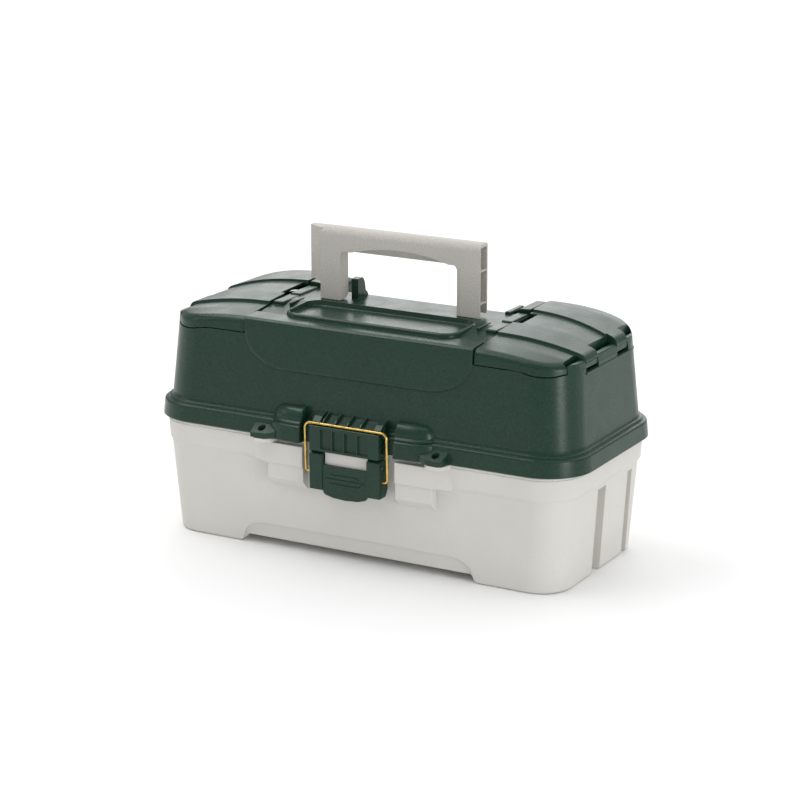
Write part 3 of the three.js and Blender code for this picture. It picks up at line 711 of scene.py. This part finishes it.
# The skirt carried round the bulges: z, and how far it lies inside the bulge's outline.
SKIRT = ((LID_BOTTOM, 0.5), (104.1, 0.0), (116.4, 0.9), (117.3, 1.5), (118.0, 2.6), (118.4, 3.0),
         (119.0, 2.5), (119.9, 2.3), (120.7, 2.8), (121.2, 3.9), (121.8, 4.3))


def hump(side):
    """A bulge beside the latch: the skirt's shoulder and bead carried round it, and a full dome on top."""
    flat, width, front = BAY_X + 1.0, 37.5, -100.2
    levels = [(z, width - inset, front + inset) for z, inset in SKIRT]
    for t in [math.radians(9 * k) for k in range(1, 11)]:
        fullness = max(0.0, math.cos(t)) ** 0.42
        levels.append((121.8 + 11.2 * math.sin(t), 12 + 21 * fullness, -78 - 17.9 * fullness))
    rings = []
    for z, reach, y0 in levels:
        ring = [(flat, -72.0), (flat, y0 + 1.8), (flat + 0.5, y0 + 0.6), (flat + 1.8, y0)]
        for t in [math.radians(7.5 * k) for k in range(2, 13)]:
            across, along = math.sin(t) ** 0.66, 1 - math.cos(t) ** 0.66
            ring.append((flat + 1.8 + (reach - 1.8) * across, y0 + (-76.0 - y0) * along))
        ring.append((flat + reach, -72.0))
        rings.append([(side * x, y, z) for x, y in ring])
    return loft(rings)


def padlock_ears():
    outline = [(70, -84), (70, -98.4, 2), (77, FRONT_LIMIT + 0.8, 3), (92.5, FRONT_LIMIT, 0.8), (95, -84, 0)]
    ears = []
    slope = [(-84, LID_BOTTOM), (FRONT_LIMIT, LID_BOTTOM), (FRONT_LIMIT, 107.6), (-91.5, 113.6), (-84, 114)]
    for _, side in SIDES:
        plan = prism("z", [(side * x, y) for x, y in softened(outline, 0.5)], LID_BOTTOM, 116)
        ears.append(rounded_edges(meet(plan, prism("x", slope, *span(side, 60, 100))), 0.6))
    return ears


def bin_hinge_blocks(side):
    """The lid's bored blocks between the straps of a bin lid, and the notches that clear the straps."""
    x, z = BIN_PIVOT_X, BIN_PIVOT_Z
    profile = [(x - 3.6, z - 10), (x - 3.6, z + 2.6, 1.5), (x - 1.2, z + 5.4, 2), (x + 3.0, z + 5.0, 2),
               (x + 4.2, z - 1, 1), (x + 4.8, z - 10)]
    blocks, notches = [], []
    for y0, y1 in BLOCKS:
        outline = [(side * a, b) for a, b in softened(profile, 0.3)]
        blocks.append(meet(prism("y", outline, y0, y1, 0.8), lid_block(0)))
    for y0, y1 in STRAPS:
        notch = [(x - 6.3, z + 10), (x - 6.3, z - 4.2), (x + 0.6, z - 4.2), (x + 3.4, z - 5.3),
                 (x + 10, z - 5.3), (x + 10, z + 10)]
        outline = [(side * a, b) for a, b in notch]
        notches.append(prism("y", outline, y0 - 0.4, y1 + 0.4))
    bead = meet(block(span(side, x + 2, x + 8), (BLOCKS[0][1], 60), (z - 7.0, z - 5.4), 0.3), lid_block(-0.8))
    return blocks + [bead], notches, bin_pin_hole(side)


def bin_pin_hole(side):
    return rod("y", BIN_PIN[0] - 0.4, BIN_PIN[1] + 0.4, (side * BIN_PIVOT_X, BIN_PIVOT_Z), 1.7, 0)


def grip_rails(side):
    """Raised parts of the middle section: a rail by the finger notch, a step, a bar, a lip and a shoulder."""
    edge = BIN_X - 1.4
    bar = 209.0 if side > 0 else 207.5  # the folded handle's wing passes over the left one
    rails = []
    places = (((98.5, edge), (-7, 25), 208.4), ((98.5, edge), (-36, -8), 207.2), ((88, 93.5), (20, 48), bar),
              ((90.2, 92.4), (-36, -13), 207.4))
    for x, y, top in places:
        rails.append(block(span(side, *x), y, (top - 6, top), min(1.5, 0.4 * (x[1] - x[0])), 4))
    across = [(edge, 184, 0), (edge, 211.6, 0.8), (99.5, 211.0, 6), (89, 205.4, 4), (88, 184, 0)]
    along = [(27, 184, 0), (27.6, 211.6, 1.5), (52, 212.2, 12), (66, 209.6, 12), (78, 204.5, 5),
             (81.5, 184, 0)]
    body = prism("y", [(side * x, z) for x, z in softened(across, 0)], 20, 85)
    return rails + [meet(body, prism("x", softened(along, 0), *span(side, 80, 115)))]


def lid():
    slab, pocket = top_panel()
    humps = [hump(side) for _, side in SIDES]
    body = join(lid_walls(), catch(), *humps, *padlock_ears(), slab, *handle_ears())
    body = cut(body, pocket, *lid_hollow(), *hasp_holes(98, 116))
    lugs, lug_holes = handle_lugs()
    body = cut(join(body, *lugs), *lug_holes)
    for _, side in SIDES:
        blocks, notches, hole = bin_hinge_blocks(side)
        body = cut(join(cut(body, *notches), *blocks, *grip_rails(side)), hole)
    for x in (-HINGE_X, HINGE_X):
        for x0, x1 in ((x - 24, x - 10.4), (x + 10.4, x + 24)):
            web = block((x0, x1), (88, HINGE_Y), (HINGE_Z + 0.4, HINGE_Z + 5), 0.4)
            body = join(body, knuckle(x0, x1), web)
        body = cut(body, pin_hole(x))
    return body


# ---- Bin lids ----
RISERS = ((-38.5, -1.5), (27.5, -11.0))  # where the lid steps up: y, and its drift towards the end
FILLET = 5.5


def smooth_step(value, middle, width):
    t = min(1.0, max(0.0, (value - middle) / width + 0.5))
    return t * t * (3 - 2 * t)


def end_share(x):
    return max(0.0, (x - 112) / 78)


def bin_top(x, y):
    """Height of a bin lid's top: it climbs to the back in two steps and falls towards the end."""
    base = 201.2 + 3.6 * (y + 76) / 38 if y < -38 else 204.8 + 1.9 * (y + 38) / 28
    if y > -10:
        base = 206.7 + 1.9 * (y + 10) / 70
    height = base
    for middle, drift in RISERS:
        past = y - middle - drift * end_share(x)
        bead = max(0.0, 1 - abs(past + 1.5) / 0.7)
        height += 0.5 * bead * bead * (3 - 2 * bead)
        height += 2.4 * smooth_step(past, 0.2, 0.7) - 0.3 * smooth_step(past, -1.5, 2)
    share = min(1.0, max(0.0, (y + 76) / 136))
    fall = 7.2 + 8.1 * share + 2.5 * max(0.0, 1 - (y + 76) / 18)
    rear = 7.0 * (max(0.0, y - 52) / 27) ** 2
    return height - rear - fall * end_share(x) ** (1.95 + 0.8 * share)


def drifted(x, y):
    """Moves a grid row near a riser along with it."""
    for middle, drift in RISERS:
        y += drift * end_share(x) * max(0.0, 1 - max(0.0, abs(y - middle) - 3) / 11)
    return y


def edge_depth(x, y, half_x, half_y, radius):
    qx, qy = x - (half_x - radius), abs(y) - (half_y - radius)
    return radius - math.hypot(max(qx, 0), max(qy, 0)) - min(max(qx, qy), 0)


def row_step(y, half_y):
    """How far the next row over a bin lid lies: close by at the risers and the rounded edges."""
    depth = half_y - abs(y)
    if min(abs(y - middle) for middle, _ in RISERS) < 2.2:
        return 0.2
    if depth < 2:
        return 0.25
    return 0.6 if depth < 8 else 2.2


def bin_cap(inset):
    """The right bin lid as a solid cap with filleted edges, walls running down past the seam."""
    shrink = 5.8 + inset
    half_x, half_y, radius = LID_X - shrink, LID_Y - shrink, LID_R - inset
    fillet = FILLET - inset
    ys = [0.0]
    while ys[-1] < 2 * half_y:
        ys.append(ys[-1] + row_step(ys[-1] - half_y, half_y))
    rows_y = [min(y, 2 * half_y) - half_y for y in ys]
    across = [1 - (1 - k / 44) ** 1.8 for k in range(45)]
    x0 = 104.0 if not inset else BIN_X + 2.6
    top = []
    for y in rows_y:
        over = max(0.0, abs(y) - (half_y - radius))
        x1 = half_x - radius + math.sqrt(max(0.0, radius ** 2 - over ** 2))
        row = []
        for share in across:
            x = x0 + (x1 - x0) * share
            depth = min(fillet, max(0.0, edge_depth(x, y, half_x, half_y, radius)))
            drop = fillet - math.sqrt(fillet ** 2 - (fillet - depth) ** 2)
            row.append((x, drifted(x, y), bin_top(x, drifted(x, y)) - inset - drop))
        top.append(row)
    n, m = len(top), len(across)
    vertices = [v for row in top for v in row]
    faces = [(i * m + j, i * m + j + 1, (i + 1) * m + j + 1, (i + 1) * m + j)
             for i in range(n - 1) for j in range(m - 1)]
    border = list(range(m)) + [i * m + m - 1 for i in range(1, n)]
    border += [(n - 1) * m + j for j in reversed(range(m - 1))] + [i * m for i in reversed(range(1, n - 1))]
    low, spread = 168.0, 25.5 * LID_LEAN / (LID_HIGH - LID_LOW)
    start = len(vertices)
    for k in border:
        x, y, _ = vertices[k]
        qx, qy = max(0.0, x - (half_x - radius)), abs(y) - (half_y - radius)
        qy = math.copysign(max(0.0, qy), y)
        length = math.hypot(qx, qy) or 1.0
        vertices.append((x + spread * qx / length, y + spread * qy / length, low))
    count = len(border)
    faces += [(border[k], border[(k + 1) % count], start + (k + 1) % count, start + k) for k in range(count)]
    faces.append(tuple(range(start, start + count)))
    return solid(vertices, faces)


def strap(y0, y1):
    """A hinge strap that carries the lid's crown down over the end to the pin."""
    x, z = BIN_PIVOT_X, BIN_PIVOT_Z
    profile = [(174, bin_top(174, y0) - 5, 0), (174, bin_top(174, y0) - 0.8, 0),
               (184, bin_top(184, y0) - 0.4, 5), (190.2, bin_top(190, y0) - 1.4, 4), (192.6, z + 2, 2),
               (192.9, z - 2.4, 1), (x + 0.5, z - 3.4, 1.5), (x - 2.6, z - 2.6, 1.5), (x - 3.4, z + 1, 1.5),
               (183, z + 5.4, 3)]
    return prism("y", softened(profile, 0.3), y0, y1, 0.6)


def bin_lid(side):
    x, z = BIN_PIVOT_X, BIN_PIVOT_Z
    whole = meet(bin_cap(0), above_seam(1, 0.9), block((BIN_X + 0.7, 214), (-99, 99), (170, 225)))
    linings = []
    for y0, y1 in BLOCKS:
        around = block((x - 7.7, x + 1), (y0 - 2.2, y1 + 2.2), (z - 2, 225))
        linings.append(meet(around, copy_of(whole)))
    cover = cut(whole, bin_cap(2.5))
    clear = [block((x - 5.9, x + 20), (y0 - 0.4, y1 + 0.4), (170, 215)) for y0, y1 in BLOCKS]
    end_wall = block((x + 2.4, x + 20), (-99, 99), (170, z + 3))
    straps = [strap(y0, y1) for y0, y1 in STRAPS]
    knuckles = [rod("y", y0, y1, (x, z), 3.4, 0.5) for y0, y1 in STRAPS]
    reach, y0, y1 = (9, -9, 22) if side > 0 else (5, -12, 27)  # the finger notches differ
    notch = [(BIN_X - 3, y0, 0), (BIN_X + reach, y0, 1.5), (BIN_X + reach, y1, 1.5), (BIN_X - 3, y1, 0)]
    notch = prism("z", softened(notch, 0), 196, 225)
    body = cut(join(cut(cover, end_wall), *linings, *straps, *knuckles), *clear, bin_pin_hole(1), notch)
    return body if side > 0 else mirrored(body)


# ---- Handle ----
def handle():
    front, back, z0 = HANDLE_FRONT, HANDLE_BACK, HANDLE_PIN[1]
    outline = [(-HANDLE_X, z0, 0), (-HANDLE_X, HANDLE_TOP, 3), (HANDLE_X, HANDLE_TOP, 1.2), (HANDLE_X, z0, 0)]
    side = [(front, z0, 0), (front, HANDLE_TOP, 6.5), (back, HANDLE_TOP, 2), (back, z0, 0)]
    rounded_side = prism("x", softened(side, 0, 8), -90, 90)
    frame_block = meet(prism("y", softened(outline, 0), front, back), rounded_side)
    left, right = HANDLE_INNER
    feet = []
    for x0, x1 in ((-HANDLE_X, left), (right, HANDLE_X)):
        heel = rod("x", x0, x1, HANDLE_PIN, 7.8, 0, 48)
        feet.append(meet(heel, block((-90, 90), (front, back), (200, 230))))
        feet.append(block((x0, x1), (front, 0.5), (z0 - 8, z0 + 1)))
    window = [(left, 190, 0), (left, GRIP_LOW, 4), (right, GRIP_LOW, 4), (right, 190, 0)]
    wing = [(-HANDLE_X + 1, front + 0.6), (-HANDLE_X - 0.4, front + 0.6), (-92, 1.2), (-92, back),
            (-HANDLE_X + 1, back)]
    cuts = [prism("y", softened(window, 0, 7), front - 2, back + 2), grip_scoop()]
    for _, s in SIDES:
        cuts.append(block(span(s, 60.0, 65.6), (front + 1.6, back + 1), (z0 - 12, z0 + 4.3)))
        cuts.append(rod("x", *span(s, 59.2, 67.4), HANDLE_PIN, 1.9, 0))
    for low, high in ((z0 - 12, 218.4), (220.0, 246.6), (248.2, 267.4)):
        cuts.append(block((67.0, HANDLE_X + 1), (front + 1.6, back - 1.6), (low, high)))
    flat = [(right - 1, front - 0.5), (right + 4.4, front - 0.5), (right + 3.4, front),
            (right - 1, front + 1.3)]
    cuts.append(prism("z", flat, 190, GRIP_LOW - 3))
    body = cut(join(frame_block, *feet), *cuts)
    return join(body, prism("z", softened(wing, 0.6), 222, HANDLE_TOP - 0.5, 0.7))


def grip_scoop():
    """A shallow arch scooped out of the lower front edge of the grip."""
    reach, rise = 51.0, 7.4
    outline = [(reach * t, GRIP_LOW - 1 + rise * (1 - t * t)) for t in [k / 14 - 1 for k in range(29)]]
    end = HANDLE_FRONT + 4
    slope = [(HANDLE_FRONT - 1, GRIP_LOW - 3), (end, GRIP_LOW - 3), (end, GRIP_LOW - 0.1),
             (HANDLE_FRONT - 1, GRIP_LOW + 8.6)]
    return meet(prism("y", outline, HANDLE_FRONT - 1, 6), prism("x", slope, *HANDLE_INNER))


# ---- Latch ----
def lever():
    """The draw lever: two side columns, a set-back middle with a window, grip lines and a finger tab."""
    front, set_back = LATCH_Y, LATCH_Y + 0.9
    plate = block((-LATCH_X, LATCH_X), (front, front + 3.2), (LATCH_LOW, LATCH_HIGH), 0.9)
    hollow = [(-21.6, LATCH_LOW - 6), (21.6, LATCH_LOW - 6), (21.6, LATCH_HIGH + 4), (-21.6, LATCH_HIGH + 4)]
    middle = prism("y", hollow, front - 2, set_back)
    body = cut(plate, middle)
    cheek = [(front + 1, LATCH_LOW, 0.5), (-90.6, LATCH_LOW, 4), (-87.2, LATCH_LOW + 7, 3), (-87.2, 82, 5),
             (-92, 90, 4), (-93.5, LATCH_HIGH - 1, 2), (front + 1, LATCH_HIGH - 1, 0.5)]
    tab = [(-21.4, LATCH_LOW + 6), (-21.4, 64.5), (-19.5, 62.4), (-12, 60.4), (0, 59.6), (12, 60.4),
           (19.5, 62.4), (21.4, 64.5), (21.4, LATCH_LOW + 6)]
    parts = []
    for _, side in SIDES:
        parts.append(prism("x", softened(cheek, 0.3), *span(side, LATCH_X - 3, LATCH_X - 0.05), 0.8))
    parts.append(prism("y", softened(tab, 2), set_back - 0.1, set_back + 2.6, 0.9, 3))
    for _, side in SIDES:
        barrel = rod("x", *span(side, 21.8, LATCH_X - 0.1), LATCH_PIN, 7.7, 0)
        parts.append(meet(barrel, block((-40, 40), (front + 0.1, -80), (84, 101))))
    window = [(-21.4, 88.8, 2.6), (21.4, 88.8, 0.6), (21.4, 104, 0), (-21.4, 104, 0)]
    cuts = [prism("y", softened(window, 0, 6), front - 3, front + 6)]
    cuts += [rod("x", -40, 40, LATCH_PIN, 1.7, 0), rod("x", -40, 40, LATCH_HOOKS, 1.5, 0)]
    for z, x0, x1 in ((81.4, -13.5, 11.5), (77.6, -18.5, 18.5), (73.4, -14.0, 12.5)):
        cuts.append(block((x0, x1), (set_back - 1, set_back + 0.7), (z - 0.55, z + 0.55), 0.2))
    for x0, z0, x1, z1 in ((11.5, 81.4, 13.6, 79.6), (18.5, 77.6, 13.0, 73.4)):
        line = [(x0, z0 - 0.55), (x1, z1 - 0.55), (x1, z1 + 0.55), (x0, z0 + 0.55)]
        cuts.append(prism("y", line, set_back - 1, set_back + 0.7))
    return cut(join(body, *parts), *cuts)


def bail():
    """A wire hoop: two legs hooked into the lever's cheeks and a bar across the catch."""
    half, low, top, y, bend = 39.5, LATCH_HOOKS[1], 123.6, -97.6, 5.0
    path = [(-31.4, low), (-half + 3, low)] + arc((-half + 3, low + 3), 3, 270, 180, 6)[1:]
    path += arc((-half + bend, top - bend), bend, 180, 90, 8)
    path += [(x, top) for x in range(-30, 31, 10)]
    path += arc((half - bend, top - bend), bend, 90, 0, 8)
    path += arc((half - 3, low + 3), 3, 0, -90, 6) + [(31.4, low)]
    return swept([(x, y - 1.2 * smooth_step(z, 112, 18), z) for x, z in path], 1.1)


# ---- Trays, arms and pins ----
def tray_floor(level):
    return ARM_Z + ARM_STEPS[level] * math.sin(ARM_TILT) - TRAY_HIGH / 2


def tray_pivot_y(pivot, level):
    return pivot - ARM_STEPS[level] * math.cos(ARM_TILT)


def tray(level):
    floor, half_y, middle = tray_floor(level), (TRAY_BACK - TRAY_FRONT) / 2, (TRAY_BACK + TRAY_FRONT) / 2
    levels = []
    for height, inset in ((0, 1.6), (0.7, 0.6), (1.8, 0.4)):
        levels.append((floor + height, TRAY_X - inset, half_y - inset, TRAY_R - inset))
    for drop, inset in ((2.4, 0.5), (1.6, 0.0), (0.6, 0.0), (0.0, 0.4)):
        levels.append((floor + TRAY_HIGH - drop, TRAY_X - inset, half_y - inset, TRAY_R))
    inside = drafted((TRAY_X - 2.4, half_y - 2.4), TRAY_R - 2, (floor + 2, floor + TRAY_HIGH + 1), 0.3,
                     low=1.6, middle_y=middle)
    body = cut(walled(levels, middle), inside)
    ribs = []
    for x in (-86, 0, 86):
        for dx in (-2.6, 1.2):
            for y0, y1 in ((TRAY_FRONT + 1, TRAY_FRONT + 4.5), (TRAY_BACK - 4.5, TRAY_BACK - 1)):
                ribs.append(block((x + dx, x + dx + 1.4), (y0, y1), (floor + 1, floor + TRAY_HIGH - 3), 0.3))
    holes = []
    for pivot in ARM_PIVOTS:
        centre = (tray_pivot_y(pivot, level), floor + TRAY_HIGH / 2)
        holes.append(rod("x", -TRAY_X - 1, TRAY_X + 1, centre, 2.4, 0))
    return cut(join(body, *ribs), *holes)


def divider(level, x):
    floor = tray_floor(level)
    outline = [(TRAY_FRONT + 2.5, floor + 2.5, 1.5), (TRAY_BACK - 2.5, floor + 2.5, 1.5),
               (TRAY_BACK - 2.5, floor + TRAY_HIGH - 1, 2), (TRAY_FRONT + 2.5, floor + TRAY_HIGH - 1, 2)]
    return prism("x", softened(outline, 0), x - 0.8, x + 0.8, 0.3)


def arm(side, pivot):
    """A flat stamped link with round ends and four rivet holes."""
    x0, x1 = span(side, ARM_IN, ARM_IN + ARM_THICK)
    length = ARM_STEPS[-1]
    outline = arc((0, 0), 5, 90, -90, 14) + arc((-length, 0), 5, 270, 90, 14)
    link = prism("x", outline, x0, x1, 0.4)
    rib = prism("x", arc((-8, 0), 1.2, 90, -90, 5) + arc((-17, 0), 1.2, 270, 90, 5), x0 - 1, x1 + 1, 0)
    holes = [rod("x", x0 - 1, x1 + 1, (-s, 0), 2.4, 0) for s in (0, *ARM_STEPS)]
    flat = cut(link, *holes, rib)
    turn = Matrix.Translation((0, pivot, ARM_Z)) @ Matrix.Rotation(-ARM_TILT, 4, "X")
    return moved(flat, turn)


def rivet(side, x0, x1, centre, head_outside):
    """A rivet with a domed head past x1, or before x0."""
    shank = rod("x", *span(side, x0, x1), centre, 2, 0.3, 24)
    base, way = (x1 - 0.1, 1) if head_outside else (x0 + 0.1, -1)
    rings = []
    for height, radius in ((0, 3.6), (0.2, 3.8), (0.6, 3.6), (1.0, 2.9), (1.3, 1.8), (1.4, 0.4)):
        x = side * (base + way * height)
        rings.append([(x, y, z) for y, z in arc(centre, radius, 0, 345, 23)])
    return join(shank, loft(rings))


# ---- Assembly ----
def add_shell():
    piece(tub(), "tub_body", "base", ["base_tub"], "tub_plastic", PALE)
    piece(lid(), "lid_body", "lid", ["lid_shell"], "lid_plastic", GREEN)
    for name, side in SIDES:
        body = f"bin_lid_{name}"
        piece(bin_lid(side), f"bin_cover_{name}", body, [body], "lid_plastic", GREEN)
        bin_pin = rod("y", *BIN_PIN, (side * BIN_PIVOT_X, BIN_PIVOT_Z), 1.3, 0.4, 24)
        piece(bin_pin, f"bin_pin_{name}", "lid", [f"bin_hinge_pin_{name}"], "pin_steel", STEEL, 0)
        handle_pin = rod("x", *span(side, 59.5, 66.9), HANDLE_PIN, 1.5, 0.4, 24)
        piece(handle_pin, f"grip_pin_{name}", "lid", [f"handle_pin_{name}"], "pin_steel", STEEL, 0)
        hinge_pin = rod("x", side * HINGE_X - 23, side * HINGE_X + 23, (HINGE_Y, HINGE_Z), 1.9, 0.4, 24)
        piece(hinge_pin, f"rear_pin_{name}", "base", [f"lid_hinge_pin_{name}"], "pin_steel", STEEL, 0)
    piece(handle(), "handle_grip", "carry_handle", ["carry_handle"], "handle_plastic", SANDY, sharp=14)
    piece(lever(), "latch_plate", "latch_lever", ["latch_lever"], "lid_plastic", GREEN)
    piece(bail(), "latch_wire", "latch_bail", ["latch_bail"], "bail_wire", BRASS, 0)
    latch_pin = rod("x", -33.8, 33.8, LATCH_PIN, 1.3, 0.4, 24)
    piece(latch_pin, "latch_axle", "base", ["latch_pin"], "pin_steel", STEEL, 0)


def add_trays():
    for level, name in enumerate(("lower", "middle", "upper")):
        body = f"{name}_tray"
        piece(tray(level), f"{name}_tray_body", body, [body], "tray_plastic", TRAY_PLASTIC)
        for place, x in (("left", -86), ("middle", 0), ("right", 86)):
            node = f"{name}_tray_divider_{place}"
            piece(divider(level, x), f"{name}_divider_{place}", body, [node], "tray_plastic", TRAY_PLASTIC, 0)


def add_arms():
    outside = ARM_IN + ARM_THICK
    for name, side in SIDES:
        for place, pivot in zip(("front", "rear"), ARM_PIVOTS):
            body = f"{place}_arms"
            node = f"{place}_arm_{name}"
            piece(arm(side, pivot), f"{place}_link_{name}", body, [node], "arm_steel", STEEL, 0)
            tub_rivet = rivet(side, ARM_IN - 0.4, outside + 7, (pivot, ARM_Z), False)
            node = f"tub_rivet_{place}_{name}"
            piece(tub_rivet, f"tub_stud_{place}_{name}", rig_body(node), [node], "rivet_steel", STEEL, 0)
            for level, row in enumerate(("lower", "middle", "upper")):
                centre = (tray_pivot_y(pivot, level), tray_floor(level) + TRAY_HIGH / 2)
                stud = rivet(side, TRAY_X - 4, outside + 0.4, centre, True)
                node = f"{row}_tray_rivet_{place}_{name}"
                piece(stud, f"{row}_stud_{place}_{name}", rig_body(node), [node], "rivet_steel", STEEL, 0)


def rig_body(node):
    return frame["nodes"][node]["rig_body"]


add_shell()
add_trays()
add_arms()


# ---- Stage, light and camera ----
def stage_floor():
    bm = bmesh.new()
    bmesh.ops.create_grid(bm, x_segments=2, y_segments=2, size=30.0)
    mesh = bpy.data.meshes.new("floor")
    bm.to_mesh(mesh)
    bm.free()
    floor = bpy.data.objects.new("floor", mesh)
    scene.collection.objects.link(floor)
    floor.location.z = cad_low.z - 0.0002
    material = bpy.data.materials.new("floor")
    material.use_nodes = True
    shader = material.node_tree.nodes["Principled BSDF"]
    shader.inputs["Base Color"].default_value = (0.9, 0.9, 0.9, 1)
    shader.inputs["Roughness"].default_value = 0.9
    mesh.materials.append(material)
    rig.stage(floor)


def softbox(name, place, aim, size, power):
    light = bpy.data.lights.new(name, "AREA")
    light.shape = "RECTANGLE"
    light.size, light.size_y = size
    light.energy = power
    lamp = bpy.data.objects.new(name, light)
    scene.collection.objects.link(lamp)
    lamp.location = place
    lamp.rotation_euler = (Vector(aim) - Vector(place)).to_track_quat("-Z", "Y").to_euler()


def lights():
    softbox("overhead", (0, 2, 5), (0, 1, 0), (8, 8), 220)
    softbox("overhead_strip", (-1.1, -0.4, 2.0), (0, 0, 0.2), (2.4, 0.5), 16)
    softbox("behind", (-1.3, 4.4, 1.8), (0, 0, 0.1), (4.4, 2.2), 58)
    softbox("right", (2.0, -0.8, 0.38), (0, 0, 0.12), (0.6, 0.7), 13)
    softbox("left", (-2.2, -1.5, 1.2), (0, 0, 0.12), (1.2, 1.2), 6)
    world = bpy.data.worlds.new("studio")
    world.use_nodes = True
    background = world.node_tree.nodes["Background"]
    background.inputs["Color"].default_value = (1, 1, 1, 1)
    background.inputs["Strength"].default_value = 0.5
    scene.world = world


def camera():
    azimuth, elevation, distance = math.radians(29.03), math.radians(15.86), 2.254
    back = Vector((math.sin(azimuth) * math.cos(elevation), -math.cos(azimuth) * math.cos(elevation),
                   math.sin(elevation)))
    data = bpy.data.cameras.new("camera")
    data.lens, data.sensor_width = 116.55, 36.0
    obj = bpy.data.objects.new("camera", data)
    scene.collection.objects.link(obj)
    obj.location = Vector((-0.0025, 0, 0.123)) + back * distance
    obj.rotation_euler = (-back).to_track_quat("-Z", "Y").to_euler()
    scene.camera = obj


stage_floor()
lights()
camera()
scene.view_settings.view_transform = "Standard"

low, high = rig.bounds()
with open("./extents.json", "w") as file:
    json.dump({"cad": [list(cad_low), list(cad_high)], "visual": [list(low), list(high)]}, file)
